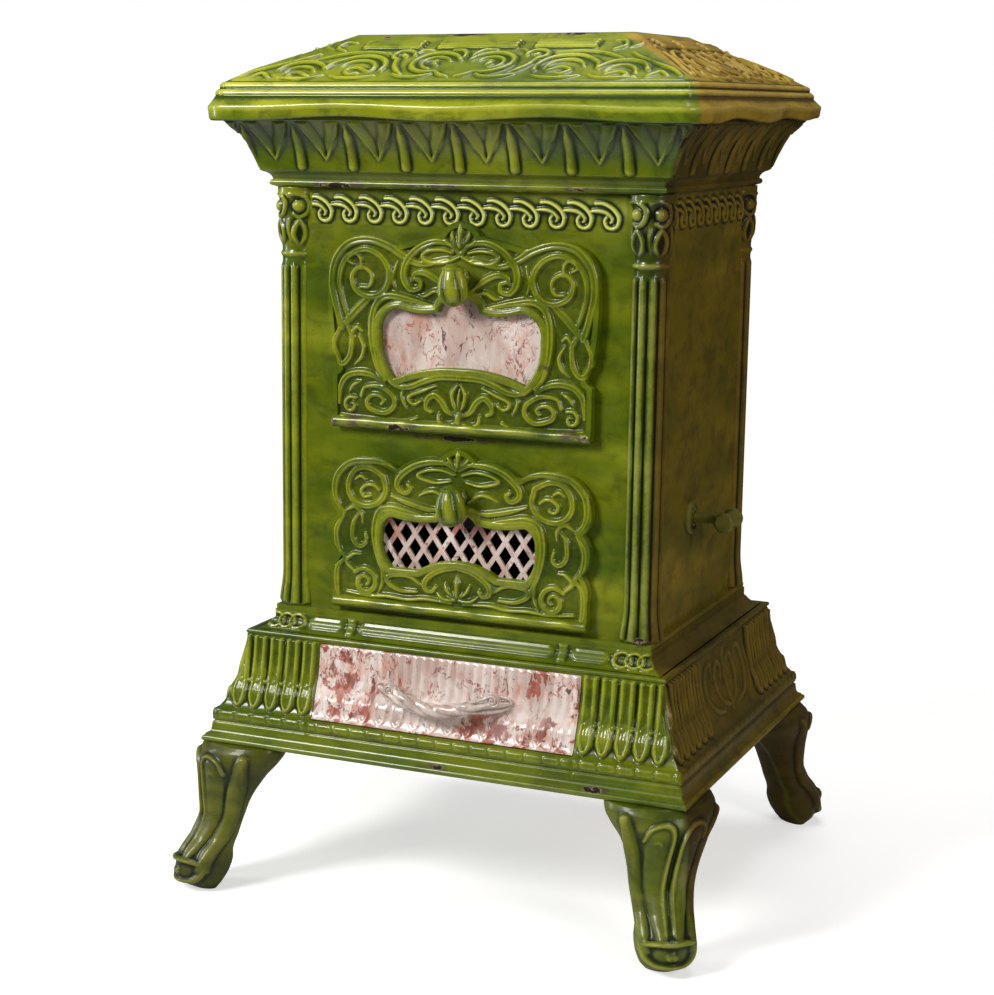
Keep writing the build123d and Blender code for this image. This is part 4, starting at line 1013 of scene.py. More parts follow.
WALLS = {
    "front": Wall((0, -1), BODY_X, BODY_Y),
    "right": Wall((1, 0), BODY_Y, BODY_X),
    "back": Wall((0, 1), BODY_X, BODY_Y),
    "left": Wall((-1, 0), BODY_Y, BODY_X),
}


class Casting:
    """The surface of some CAD nodes, for seating sheets of relief on."""

    def __init__(self, nodes: Iterable[Object]) -> None:
        """Takes the nodes' meshes."""
        bm = bmesh.new()
        for node in nodes:
            bm.from_mesh(node.data)
        self.tree = BVHTree.FromBMesh(bm)
        bm.free()

    def seat(self, places: Array, out: Array, reach: float = 7.0) -> Array:
        """Moves points along their directions onto the castings.

        Args:
            places: points in millimetres.
            out: unit directions away from the casting.
            reach: how far to look, each way.

        Returns:
            The seated points; one that finds nothing stays.
        """
        seated = places.copy()
        for k, (place, away) in enumerate(zip(places, out)):
            start, ray = Vector((place + away * reach) * MM), Vector(-away)
            hit = self.tree.ray_cast(start, ray, 2 * reach * MM)[0]
            if hit is not None:
                seated[k] = np.array(hit) / MM
        return seated


@dataclass(frozen=True)
class Spot:
    """Where the points of a sheet lie before the relief lifts them."""

    place: Array
    out: Array
    across: Array
    up: Array
    edge: Array


def drape(name: str, cells: tuple[int, int], spot: Callable[[Array, Array], Spot],
          relief: Relief, casting: Casting | None, lift: float = 0.3) -> Object:
    """Relief laid over a casting; its border sinks just under the casting's face.

    Args:
        name: object name.
        cells: faces across and up.
        spot: places for u and v from 0 to 1.
        relief: the heights.
        casting: what the sheet lies on, or None where its own places are exact.
        lift: how far its plain ground stands off.

    Returns:
        The new sheet.
    """
    def shape(u: Array, v: Array) -> Pair:
        """Bends the grid to the casting."""
        at = spot(u, v)
        height, tone = relief.at(at.across, at.up)
        fade = ramp(at.edge, 0, 1.8)
        rise = lift * (2 * fade - 1) + height * ramp(at.edge, 0.6, 2.4)
        seated = casting.seat(at.place, at.out) if casting else at.place
        stand = ((seated - at.place) * at.out).sum(axis=1)
        base = stand * (1 - ramp(stand, 0.3, 0.9))
        rise = np.maximum(base + rise, stand + 0.25 * (2 * fade - 1))
        return at.place + at.out * rise[:, None], tone * fade

    skin = grid_mesh(name, *cells, shape)
    middle = spot(np.array([0.5]), np.array([0.5])).out[0]
    face_outwards(skin, Vector(middle))
    return skin


def on_wall(wall: Wall, moulding: Moulding, ends: tuple[float, float] | None = None,
            taper: Callable[[Array], Array] | None = None) -> Callable:
    """Places on one wall of a moulding.

    Args:
        wall: which wall.
        moulding: the stretch of outline.
        ends: limits along the wall, or the mitres.
        taper: half width at a share of the run, in place of the mitres.

    Returns:
        A function for drape.
    """
    length = moulding.run()[-1]

    def spot(u: Array, v: Array) -> Spot:
        """Places for u and v."""
        out, up, nx, nz = moulding.at(v)
        half = wall.half + out if taper is None else taper(v)
        low, high = (-half, half) if ends is None else ends
        along = low + u * (high - low)
        edge = np.minimum.reduce([v * length, (1 - v) * length, along - low, high - along])
        away = wall.place(np.zeros_like(nx), nx - wall.depth, nz)
        return Spot(wall.place(along, out, up), away, along, v * length, edge)

    return spot


def line_points(*steps) -> Array:
    """Points of an open line from a start point and (end,) or (middle, end) steps."""
    at = steps[0]
    out: list[Point] = []
    for step in steps[1:]:
        out += [at] if len(step) == 1 else arc_points(at, step[0], step[1], 14)
        at = step[-1]
    return np.array([*out, at])


# -------------------- doors
@dataclass(frozen=True)
class DoorSize:
    """Outline, window and position of one door casting, in millimetres."""

    name: str
    bottom: float
    outline: tuple
    window: tuple
    hinge_radius: float = 6.0
    panel_y: float = -150.6
    rim: float = 3.5
    border: float = 0.9
    depth: float = 5.4
    outer_lap: float = 0.6
    inner_lap: float = 0.3
    pitch: float = 0.9


UPPER_DOOR = DoorSize(
    "upper_door", 466.0,
    ((0, 202), ((12, 198), (20, 189)), ((44, 184), (66, 178)), ((82, 184), (99, 186)),
     ((128, 176), (138, 150)), ((138.5, 110), (134, 74)), ((129, 66), (128, 58)),
     ((134, 54),), ((134, 6),)),
    ((0, 131), ((16, 127), (21, 117)), ((40, 115), (62, 119)), ((78, 112), (83, 94)),
     ((80, 70), (68, 51)), ((36, 61), (0, 64))))
LOWER_DOOR = DoorSize(
    "lower_door", 285.6,
    ((0, 167), ((11, 163), (19, 156)), ((42, 155), (63, 143)), ((79, 150), (97, 151.5)),
     ((126, 142), (136, 118)), ((135, 104), (128, 95)), ((136, 76), (128, 56)),
     ((134, 44), (134, 30)), ((134, 6),)),
    ((0, 106), ((13, 102), (20, 95)), ((45, 93), (70, 96)), ((78, 90), (81, 78)),
     ((80, 60), (71, 45)), ((42, 45),), ((22, 54), (0, 57))))


def spiral(x: float, y: float, radius: float, start: float, turns: float,
           inner: float = 0.15) -> tuple[Point, ...]:
    """Points of a volute that winds in.

    Args:
        x: middle of the volute.
        y: middle of the volute.
        radius: its outer radius.
        start: angle of the outer end in degrees.
        turns: whole turns, negative for clockwise.
        inner: share of the radius that is left at the inner end.

    Returns:
        The points from the outer end in.
    """
    count = max(5, int(abs(turns) * 9))
    points = []
    for k in range(count + 1):
        t = k / count
        r = radius * (1 - (1 - inner) * t)
        a = math.radians(start) + turns * math.tau * t
        points.append((x + r * math.cos(a), y + r * math.sin(a)))
    return tuple(points)


def ring(x: float, y: float, radius: float, start: float, sweep: float) -> tuple[Point, ...]:
    """Points of an open ring.

    Args:
        x: middle of the ring.
        y: middle of the ring.
        radius: its radius.
        start: angle of its first end in degrees.
        sweep: how far it turns, negative for clockwise.

    Returns:
        The points along it.
    """
    count = max(4, int(abs(sweep) / 22))
    angles = [math.radians(start + sweep * k / count) for k in range(count + 1)]
    return tuple((x + radius * math.cos(a), y + radius * math.sin(a)) for a in angles)


UPPER_ORNAMENT = (
    trace("12.7,631.8 40,627.3 58,634 74,643.2 94.5,648.9 115,645.5 127.5,634 133.5,620.5 "
          "134.6,604.5 131,586.4 124.5,563.6", 8.5, 4.2, CH, 0.6, 0.8),
    trace("117.2,572.7 124,590.9 127,609 121.8,627.3 108.1,637.5 94.5,639.1 80.9,631.8 73.6,618.2 "
          "76.3,604.5 85.4,595.9 97.9,595 109.3,601 113.4,612.5 108.6,620.5 100.9,622 93.4,617 "
          "92.2,609 96.8,603.4 104.7,603.4", 6.0, 3.9, CH, 0.7, 0.55),
    trace("103.6,620.5 104.7,631.8 112.7,635.2 117.2,628.4 111.5,625", 3.6, 3.2),
    trace("94.5,593.2 108,581 119.5,568.2", 8.0, 3.6, CH, 0.8, 0.8),
    trace("117.2,563.6 113.5,554.5 115.5,537 124,528.4 131.5,536.4 132.6,550 127,561.4",
          6.0, 3.8, CH, 0.8, 0.8),
    trace("103.6,561.4 108.1,564.8 112.7,559 111.5,554.5", 4.0, 3.0),
    trace("106,556 101,546 103,536 111,528", 4.6, 3.0, ROUND, 0.5, 0.4),
    trace("78.6,511.4 90,518.2 103.6,520.5 117.5,517.2 125.3,506.8 127,490",
          6.5, 3.8, CH, 0.6, 0.6),
    trace("103.6,497.7 99,506.8 83,508 69.4,500 68.2,489.6 78.6,482.8 93.5,486.4 97.0,493 92,499 "
          "84,499 79,495 82,491", 5.4, 3.8, CH, 0.6, 0.6),
    Vine(spiral(114, 488.5, 8.5, 120, -1.2), 4.6, 3.4, ROUND, 0.8, 0.6),
    trace("104,512 112,508 117,500", 5.0, 3.2, LEAF, 0.4, 0.4),
    trace("26.3,587.5 40,590.9 58,594.3 74,595.8 85.4,589.9 91,577.3 92.2,559 90,541 85.4,525 "
          "77.6,515.2", 7.0, 4.6, CH, 0.6, 0.6),
    trace("0,521.3 20,520.6 34,516.7 51.3,509.6 66.5,509.8 73,514.5", 6.6, 4.2, CH, 1.0, 0.5),
    trace("24.3,512.2 38,506.8 49.3,502.3 52.5,497.7 46.8,493.2 40,496.6",
          4.8, 3.6, ROUND, 0.5, 0.7),
    trace("1.3,638.6 10.4,646.6 26.3,648.9 44.5,640.9 55.9,627.3 58,613.6 51.3,603.4 42,604.5 "
          "41,611 46,613", 7.4, 4.6, CH, 0.5, 0.6),
    trace("1.3,635.2 15,629.5 31,629.5 39,634.5 33,640 19.5,641.2 8,638.8",
          4.4, 3.6, ROUND, 0.6, 0.6),
    trace("53.6,649 61,652 67,647 64,641", 4.6, 3.6, ROUND, 0.5, 0.6),
    trace("12,604 22,612 36,619 47,618 50,611", 6.5, 4.0, CH, 0.4, 0.5),
    trace("14,600 26,602 36,597 44,598", 4.6, 3.4, LEAF, 0.7, 0.3),
    trace("0,645 0,656 0,667", 7.5, 5.0, LEAF, 1.0, 0.35, False),
    trace("3,646 8,653 9,660", 4.6, 4.2, LEAF, 0.8, 0.4),
    trace("5,644 13,648 17,654", 4.6, 3.8, LEAF, 0.8, 0.4),
    trace("1,487 5.5,497 6.5,506 2,514", 5.6, 4.4, LEAF, 0.6, 0.5),
    trace("0,490 0,500 0,509", 3.6, 4.8, LEAF, 0.7, 0.4, False),
    trace("2,484 12,489 18,498 26,503 33,498 34,490 29,487", 6.6, 4.2, CH, 0.6, 0.6),
    trace("0,479 0,485", 8.0, 4.8, ROUND, 0.9, 0.9, False),
    trace("3,478 12,475 20,478 21,485", 4.8, 3.8, ROUND, 0.7, 0.6),
    trace("44,480 60,474.5 90,474.5 126,477", 4.6, 3.4, ROUND, 0.5, 0.7),
    trace("55,489 60,500 58,507", 5.0, 3.2, LEAF, 0.5, 0.4),
    trace("66,628 70,612 66,600", 4.2, 3.0, LEAF, 0.3, 0.3),
)

LOWER_ORNAMENT = (
    trace("61.1,427.5 77,434.1 97.5,434.8 116,430.8 129,418.2 132,402.3 128.6,389.4 121.8,381.7",
          8.0, 4.2, CH, 0.6, 0.6),
    trace("79.3,420.7 93,427.5 106.6,426.4 115,417 117,404 110,393 97.5,389.5 84,394 76.5,406 "
          "79.3,420.7", 6.0, 3.9, CH, 1.0, 1.0),
    trace("83.9,406.8 90,411 97.5,410.4 103,405 100,399 94,400", 4.4, 3.4),
    trace("98,416 104,419 110,415", 3.8, 3.0),
    trace("102,372.7 102.5,382 110,388 119,384", 4.6, 3.4, ROUND, 0.5, 0.6),
    trace("104.6,381.8 111.4,372.7 112.3,356.5 105,349 98,353 99,361", 5.4, 3.6, CH, 0.6, 0.6),
    trace("122.8,378.5 130.2,363.6 128.5,346.5 121.5,337.4", 6.2, 3.9, CH, 0.7, 0.7),
    trace("121.5,334.4 129,326.3 130,308 127.3,293", 6.2, 3.8, CH, 0.7, 0.7),
    Vine(spiral(99, 313, 14.5, 40, 1.55, 0.2), 5.6, 3.8, CH, 0.8, 0.6),
    trace("110,323 119,332 112,340 104,341", 5.0, 3.4, ROUND, 0.7, 0.5),
    trace("85,303 80,315 82,330", 5.0, 3.2, LEAF, 0.5, 0.3),
    trace("22,386.6 33,384.0 46,386 58,388.1 72,389.6 84,384.1 88.5,363.6 84.4,338.4 77,321.5",
          7.0, 4.6, CH, 0.5, 0.6),
    trace("13.7,395.5 23.8,391.9 33.9,392 54.3,396.6 70.8,401.7", 5.2, 3.8, CH, 0.5, 0.5),
    trace("2,431.8 11.1,437.6 29.3,437.8 47.5,432.2 61.4,420.7 63.7,411.4 55.6,405.8 49.8,410.4 "
          "53,414", 7.0, 4.6, CH, 0.5, 0.6),
    trace("4.3,427.3 18,431.1 33.9,429.5 42,423.5 24.8,418.5 8.9,420.6", 4.4, 3.6, ROUND, 0.6, 0.6),
    trace("10.4,402.1 22.5,409.2 31.6,408.8 40.7,404.5", 5.4, 3.6, LEAF, 0.6, 0.4),
    trace("0,436 0,444 0,452", 7.0, 4.8, LEAF, 1.0, 0.35, False),
    trace("3,436 9,441 12,446", 4.6, 4.0, LEAF, 0.8, 0.4),
    trace("5,433 14,439 18,444", 4.2, 3.6, LEAF, 0.8, 0.4),
    trace("0,337 18,332.5 31.9,323 34,313.6 27,310.4 23,315", 6.2, 4.2, CH, 1.0, 0.6),
    trace("38.4,316.2 52,323.5 70.2,322.7 74.8,316.2 61.1,308.6 44,308.6", 5.0, 3.8, CH, 0.7, 0.7),
    trace("0,308 0,318 0,327", 7.4, 4.2, LEAF, 0.9, 0.4, False),
    trace("4,308 10,313 13,320", 5.0, 3.8, LEAF, 0.8, 0.4),
    trace("2,304 14,304.5 22,310", 5.0, 3.6, LEAF, 0.8, 0.4),
    trace("6,300.5 34,302.5 52,300.2 75,301.2 97,299.6 120,301.5", 4.4, 3.2, ROUND, 0.6, 0.5),
)


class Door:
    """Relief front of one door, cast in one piece with its borders."""

    ROLL_TURN = 1.9  # how far round the hinge edge its ornament reaches, each way, in radians
    ROLL_SUNK = 0.5  # how far it lies back where it passes the front plate

    def __init__(self, size: DoorSize, vines: Sequence[Vine]) -> None:
        """Takes the door's size and its ornament."""
        self.size = size
        self.outline = outline_points(size.outline) + (0, size.bottom)
        self.window = outline_points(size.window) + (0, size.bottom)
        top = self.outline[:, 1].max()
        wide = self.outline[:, 0].max() + 2
        bold = [vine.bolder(1.22, 1.15) for vine in vines]
        self.relief = Relief((-wide, size.bottom), (wide, top + 2), 0.45).draw(bold).finish(0.55)

    def _edges(self, x: Array, z: Array) -> Pair:
        """Signed distances of points to the outline and to the window."""
        points = np.column_stack([x, z])
        return distance_to(self.outline, points)[0], distance_to(self.window, points)[0]

    def surface(self, x: Array, z: Array) -> Pair:
        """Height above the panel and relief tone at points of the door."""
        edge, hole = self._edges(x, z)
        height, tone = self.relief.at(x, z)
        size = self.size

        def rib(away: Array, rise: float, width: float, groove: float) -> Array:
            """Rounded rib along an outline with a shallow groove, away from that outline."""
            dome = 1.2 * circle((away - width * 0.36) / (width * 0.6))
            cut = groove * np.exp(-((away - width * 0.55) / 1.0) ** 2)
            fall = circle(np.clip(away - width * 0.5, 0, 9) / (width * 0.5))
            return (rise + dome - cut) * fall * (away > -1)

        borders = np.maximum(rib(-edge, size.border, 3.4, 0.0), rib(hole, size.rim, 8.2, 0.5))
        # ridges and border ribs get a pale tone (thinner glaze and painted highlight); hollows get
        # none, and the whole door is shifted a little toward the darker pool colour
        tone = np.maximum(np.maximum(tone, 0.0),
                          0.55 * ramp(borders, 1.2, 4.2) * (borders > 0.9)) - 0.155

        def arris(away: Array) -> Array:
            """How far the rounded edge of an outline falls away."""
            return 0.7 * (1 - circle(1 - np.clip(away / 1.4, 0, 1)))

        return (0.3 + np.maximum(height, borders) - arris(-edge + size.outer_lap)
                - arris(hole + size.inner_lap), tone)

    def build(self, report: Report, material: Material) -> None:
        """Makes the relief front.

        Args:
            report: list of pieces.
            material: its glaze.
        """
        size = self.size
        x1 = self.outline[:, 0].max() + 1.5
        z0, z1 = size.bottom + size.hinge_radius - 1.0, self.outline[:, 1].max() + 1.5
        columns, rows = int(2 * x1 / size.pitch), int((z1 - z0) / size.pitch)
        mesh = bpy.data.meshes.new(size.name + "_relief")
        bm = bmesh.new()
        bmesh.ops.create_grid(bm, x_segments=columns, y_segments=rows, size=0.5)
        bm.verts.ensure_lookup_table()
        uv = np.array([v.co[:2] for v in bm.verts]) + 0.5
        x, z = -x1 + uv[:, 0] * 2 * x1, z0 + uv[:, 1] * (z1 - z0)
        edge, hole = self._edges(x, z)
        outside = (edge > 0.5 * size.pitch) | (hole < -0.5 * size.pitch)
        for vert, px, pz in zip(bm.verts, x, z):
            vert.co = (px, 0.0, pz)
        bmesh.ops.delete(bm, geom=[v for v, gone in zip(bm.verts, outside) if gone],
                         context="VERTS")
        loose = [v for v in bm.verts if not v.link_faces]
        bmesh.ops.delete(bm, geom=loose, context="VERTS")
        self._trim(bm)
        co = np.array([(v.co.x, v.co.z) for v in bm.verts])
        height, tone = self.surface(co[:, 0], co[:, 1])
        for vert, rise in zip(bm.verts, height):
            vert.co.y = size.panel_y - rise
        layer = bm.verts.layers.float.new("relief")
        for vert, value in zip(bm.verts, tone):
            vert[layer] = float(value)
        self._wall(bm, layer)
        for vert in bm.verts:
            vert.co *= MM
        bmesh.ops.recalc_face_normals(bm, faces=bm.faces)
        bm.to_mesh(mesh)
        bm.free()
        smooth_faces(mesh)
        skin = link_object(size.name + "_relief", mesh)
        face_outwards(skin, Vector((0, -1, 0)))
        report.add(skin, size.name, material)
        self._roll(report, material)

    def _roll(self, report: Report, material: Material) -> None:
        """Ornament that hides the plain round of the hinge edge."""
        size = self.size
        half = abs(self.outline[:, 0][self.outline[:, 1] < size.bottom + 8]).max() + 0.1

        def shape(u: Array, v: Array) -> Pair:
            """Bends the grid round the edge."""
            x = (u * 2 - 1) * half
            angle = (v * 2 - 1) * self.ROLL_TURN
            end = circle(((np.abs(x) - half + 2) / 2).clip(0, 1))
            wave = np.sin(np.abs(x) / 7.5 + np.sin(x / 19.0)) * 0.5 + 0.5
            front = 1 - ramp(np.abs(angle - 0.15 - 0.35 * (wave - 0.5)), 0.2, 0.75)
            below = self.ROLL_SUNK * ramp(-angle, 0.9, 1.2)
            radius = (size.hinge_radius - below
                      + (0.25 + 0.75 * front * (0.35 + 0.65 * wave)) * end)
            # the raised front of the roll gets a pale tone: thinner glaze and painted highlight
            return (np.column_stack([x, size.panel_y - radius * np.cos(angle),
                                     size.bottom + size.hinge_radius + radius * np.sin(angle)]),
                    (front * (0.2 + 0.5 * wave) - 0.06) * end)

        roll = grid_mesh(size.name + "_edge", 240, 22, shape)
        face_outwards(roll, Vector((0, -1, 0)))
        report.add(roll, size.name, material)

    def _trim(self, bm: bmesh.types.BMesh) -> None:
        """Draws the ragged border of the grid onto the door's outlines."""
        rim = [v for v in bm.verts if v.is_boundary]
        at = np.array([(v.co.x, v.co.z) for v in rim])
        edge, to_edge = distance_to(self.outline, at)
        hole, to_hole = distance_to(self.window, at)
        size = self.size
        middles = self.window.mean(axis=0), self.outline.mean(axis=0)
        for vert, e, h, pe, ph in zip(rim, edge, hole, to_edge, to_hole):
            at_hole = abs(h) < abs(e)
            target, push, centre = ((ph, -size.inner_lap, middles[0]) if at_hole
                                    else (pe, size.outer_lap, middles[1]))
            if not at_hole and target[1] < size.bottom + size.hinge_radius + 1.0:
                continue
            away = target - centre
            away /= max(1e-6, np.hypot(*away))
            vert.co.x, vert.co.z = target[0] + push * away[0], target[1] + push * away[1]

    def _wall(self, bm: bmesh.types.BMesh, layer: bmesh.types.BMLayerItem) -> None:
        """Carries the border of the relief back to the door's back edge."""
        border = [e for e in bm.edges if e.is_boundary]
        made = bmesh.ops.extrude_edge_only(bm, edges=border)["geom"]
        back = self.size.panel_y + self.size.depth
        for vert in (g for g in made if isinstance(g, bmesh.types.BMVert)):
            vert.co.y = back
            vert[layer] = 0.0


# -------------------- columns
@dataclass(frozen=True)
class ColumnSize:
    """Sizes of one reeded corner column, in millimetres."""

    x: float = 181.0
    y: float = 132.5
    radius: float = 16.5
    foot_radius: float = 20.0
    cap_radius: float = 21.0
    bottom: float = 281.0
    top: float = 697.0
    foot_height: float = 44.0
    capital_height: float = 66.0
    reeds: int = 10
    pitch: float = 1.1


CORNERS = tuple((sx, sy, f"{fb}_{lr}") for sx, lr in ((-1, "left"), (1, "right"))
                for sy, fb in ((-1, "front"), (1, "back")))


class Columns:
    """The four corner columns with their reeds, capitals and feet."""

    def __init__(self, size: ColumnSize = ColumnSize()) -> None:
        """Draws the relief of one capital, unrolled."""
        self.size = size
        half = math.pi * size.radius
        self.capital = Relief((-half, 0), (half, size.capital_height), 0.4)
        lobe = 2 * half / 5
        for k in range(-2, 3):
            self.capital.draw(v.moved(k * lobe, 0) for v in self._leaf())
        self.capital.finish(0.45)

    @staticmethod
    def _leaf() -> list[Vine]:
        """One turn of the capital's ornament: boss, curling leaves and drop."""
        return [
            trace("0.1,47 0,48", 11.0, 4.2, ROUND, 1, 1, False),
            trace("-9,58 -3,60 4,57 8,50 6,41 0,37 -5,40", 4.2, 3.0, CH, 0.7, 0.6, False),
            trace("0,34 -4,26 -5,18 -1,11", 5.6, 2.6, LEAF, 0.8, 0.3, False),
            trace("1,33 5,25 5,17 1,10", 5.6, 2.6, LEAF, 0.8, 0.3, False),
            trace("-9,35 -9.5,24 -8,14", 4.4, 2.0, LEAF, 0.5, 0.4, False),
        ]

    def _surface(self, angle: Array, z: Array) -> Pair:
        """Radius and tone of a column at an angle and a height."""
        size = self.size
        r = size.radius
        foot_top = size.bottom + size.foot_height
        neck = size.top - size.capital_height
        low = r + (size.foot_radius - r) * ramp(foot_top - z, 4, 43) ** 1.5
        cap = r + 2.6 * ramp(z, neck + 3, neck + 30) + (size.cap_radius - r - 2.6) * ramp(
            z, size.top - 14, size.top - 7)
        base = np.where(z > neck, cap, np.where(z < foot_top, low, r))
        collar = 1.9 * np.exp(-((z - neck - 1.5) / 2.2) ** 2)
        turn = (angle / math.tau * size.reeds) % 1.0
        arch = 7.0 * np.abs(turn - 0.5)
        reeding = (ramp(z, size.bottom + 0.5, size.bottom + 3.5)
                   * (1 - ramp(z, neck - 12 - arch, neck - 5 - arch)))
        reed = circle((turn - 0.5) / 0.5)
        flute = (reed - 1.0) * 4.6 + 1.6
        along = (angle - math.pi) * r
        rise, tone = self.capital.at(along, z - neck)
        inside = ramp(z, neck + 4, neck + 9) * (1 - ramp(z, size.top - 9, size.top - 6))
        radius = base + collar + reeding * flute + inside * rise
        # reeds and collar get a pale tone, flutes a dark one: thinner glaze and painted highlight
        # on the reeds, pooled glaze and painted shade in the flutes
        tone = reeding * (reed * 1.95 - 1.38) + inside * tone + 0.8 * collar / 1.9
        return radius, np.clip(tone, -1, 1)

    def build(self, report: Report, material: Material, deep: Material) -> None:
        """Makes the four columns.

        Args:
            report: list of pieces.
            material: their glaze.
            deep: darker copy of their glaze for the columns on the right: painted shade.
        """
        size = self.size
        rows = int((size.top - size.bottom) / size.pitch / 1.4)
        columns = int(math.tau * size.cap_radius / size.pitch)
        for sx, sy, corner in CORNERS:
            start = math.atan2(sy, sx) + math.pi

            def shape(u: Array, v: Array, sx: int = sx, sy: int = sy, start: float = start) -> Pair:
                """Bends the grid to the column."""
                angle = u * math.tau
                z = size.bottom + v * (size.top - size.bottom)
                radius, tone = self._surface(angle, z)
                turn = start + angle
                return np.column_stack([sx * size.x + radius * np.cos(turn),
                                        sy * size.y + radius * np.sin(turn), z]), tone

            post = closed_mesh(f"post_{corner}", columns, rows, shape)
            report.add(post, "stove", deep if sx > 0 else material, replaces=f"column_{corner}")


# -------------------- legs
@dataclass(frozen=True)
class LegSize:
    """Stations of a cabriole leg: middle, half along, half across, turn share, height share."""

    height: float = 145.0
    toe_turn: float = 13.0
    corner: Point = (195.0, 150.0)
    stations: tuple[tuple[float, ...], ...] = (
        (92.0, 12.0, 18.0, 1.0, 0.0), (95.0, 21.0, 23.5, 1.0, 0.045),
        (94.5, 28.0, 27.0, 1.0, 0.115), (92.0, 30.5, 28.0, 1.0, 0.195),
        (88.0, 27.5, 26.5, 1.0, 0.275), (78.0, 24.0, 25.5, 0.95, 0.37),
        (69.0, 21.5, 27.5, 0.9, 0.5), (63.0, 26.0, 31.5, 0.75, 0.635),
        (54.0, 34.0, 40.0, 0.5, 0.775), (45.0, 42.0, 51.0, 0.2, 0.89),
        (40.0, 43.5, 54.5, 0.0, 0.955), (36.0, 41.0, 53.0, 0.0, 1.0))


class Legs:
    """The four cabriole legs with their leaf, ribs and scrolled toe."""

    SCALE = 40.0  # millimetres to one station, so that the fitted lines run evenly
    INSET = 1.4  # how far the plain leg lies under the outline of its stations

    def __init__(self, size: LegSize = LegSize()) -> None:
        """Fits smooth lines through the stations."""
        self.size = size
        table = np.array(size.stations)
        self.columns = [smooth_path([(k, row[c] / self.SCALE) for k, row in enumerate(table)], 0.02)
                        for c in range(4)]
        self.table = table
        self.relief = Relief((-62, 0), (62, size.height), 0.5)
        self.relief.draw(self._vines()).finish(0.8, 0.55)

    @staticmethod
    def _vines() -> list[Vine]:
        """Ornament of a leg, unrolled: two petals, a roll on each side and the cupped toe."""
        return [
            trace("17,121 15,104 12.5,80 10,58 8,36", 23.0, 3.2, ROUND, 1.0, 0.5),
            trace("4,40 4.5,70 4.5,100 5,118 9,130 18,133 27,128 29,117",
                  4.6, 5.0, ROUND, 0.5, 0.8),
            trace("12,112 17,118 23,114", 4.0, 4.6, ROUND, 0.5, 0.5),
            trace("52,134 44,118 35,94 29,66 26,44 25,24", 17.0, 5.6, ROUND, 0.6, 0.7),
            trace("0,33 12,32.5 26,29", 5.0, 5.6, ROUND, 1.0, 0.8),
            trace("26,28 23,18 14,11.5 0,10", 6.4, 5.8, ROUND, 0.8, 1.0),
            trace("0,21 4,21", 8.0, 2.6, ROUND, 0.9, 0.7),
        ]

    def _value(self, column: int, v: Array) -> Array:
        """One measure of the leg at a share of its height."""
        rows = self.table
        index = np.interp(v, rows[:, 4], np.arange(len(rows)))
        line = self.columns[column]
        return np.interp(index, line[:, 0], line[:, 1]) * self.SCALE

    def _shape(self, sx: int, sy: int) -> Shape:
        """Mapping of the grid to one leg."""
        size = self.size

        def shape(u: Array, v: Array) -> Pair:
            """Bends the grid to the leg."""
            angle = u * math.tau - math.pi
            middle, along, across, turn = (self._value(k, v) for k in range(4))
            unrolled = angle * (across * 0.78)
            rise, tone = self.relief.at(unrolled, v * size.height)
            front = 1 - ramp(np.abs(angle), 1.7, 2.3)
            rise = rise * front * ramp(v, 0.02, 0.07) * (1 - ramp(v, 0.975, 0.995))
            a = along * np.cos(angle)
            b = across * np.sin(angle) * (1 - 0.22 * np.cos(angle))
            nx, ny = np.cos(angle) / np.maximum(along, 1), np.sin(angle) / np.maximum(across, 1)
            size_n = np.hypot(nx, ny)
            a = middle + a + (rise - self.INSET) * nx / size_n
            b = b + (rise - self.INSET) * ny / size_n
            heading = np.radians(45.0 + turn * size.toe_turn)
            x = size.corner[0] + a * np.cos(heading) - b * np.sin(heading)
            y = size.corner[1] + a * np.sin(heading) + b * np.cos(heading)
            return np.column_stack([sx * x, sy * y, v * size.height]), tone * front

        return shape

    def build(self, report: Report, material: Material, shade: Material) -> None:
        """Makes the four legs.

        Args:
            report: list of pieces.
            material: their glaze.
            shade: darker copy of their glaze for the legs on the left: painted shade.
        """
        for sx, sy, corner in CORNERS:
            leg = closed_mesh(f"leg_{corner}", 220, 130, self._shape(sx, sy))
            report.add(leg, "stove", material if sx > 0 else shade, replaces=f"foot_{corner}")


# -------------------- cornice, lid, plinth
CORNICE = Moulding(line_points(
    (1.0, 697.0), ((3.0, 698.0),), ((6.2, 701.0), (3.5, 704.0)), ((6.0, 709.0), (10.5, 711.5)),
    ((13.0, 713.0),), ((20.5, 737.0), (40.0, 760.5))))
PLINTH = Moulding(line_points(
    (57.0, 151.0), ((57.0, 152.5),), ((54.0, 154.0), (52.5, 156.5)), ((51.5, 164.0),),
    ((50.0, 165.5), (51.5, 167.0)), ((50.5, 177.5),), ((48.5, 177.6),),
    ((42.5, 185.5), (38.0, 194.5)), ((33.0, 205.5), (29.5, 217.5)), ((26.0, 235.0), (24.0, 253.0)),
    ((25.8, 255.0), (23.0, 257.5)), ((10.0, 261.0), (6.0, 266.0)), ((4.0, 268.0),),
    ((4.0, 276.0),)))


@dataclass(frozen=True)
class WaveBand:
    """One band of running-dog scroll, in millimetres.

    base is the height of the volutes' middles, half the sheet's half width, reach that of its
    raster, step the raster's step, and pitch the size of the sheet's faces.
    """

    wall: str
    inset: float
    waves: int
    base: float
    half: float
    reach: float
    step: float
    softness: float
    pitch: float


WAVE_FOOT, WAVE_TOP, WAVE_PITCH = 660.5, 696.5, 26.6
WAVE_BANDS = (WaveBand("front", 6.0, 12, 11.5, 162.0, 168.0, 0.4, 0.45, 0.8),
              WaveBand("left", 3.0, 9, 12.0, 116.0, 125.0, 0.5, 0.5, 1.0),
              WaveBand("right", 3.0, 9, 12.0, 116.0, 125.0, 0.5, 0.5, 1.0))
LEAF_PITCH, LEAF_HEIGHT = 55.0, 56.0


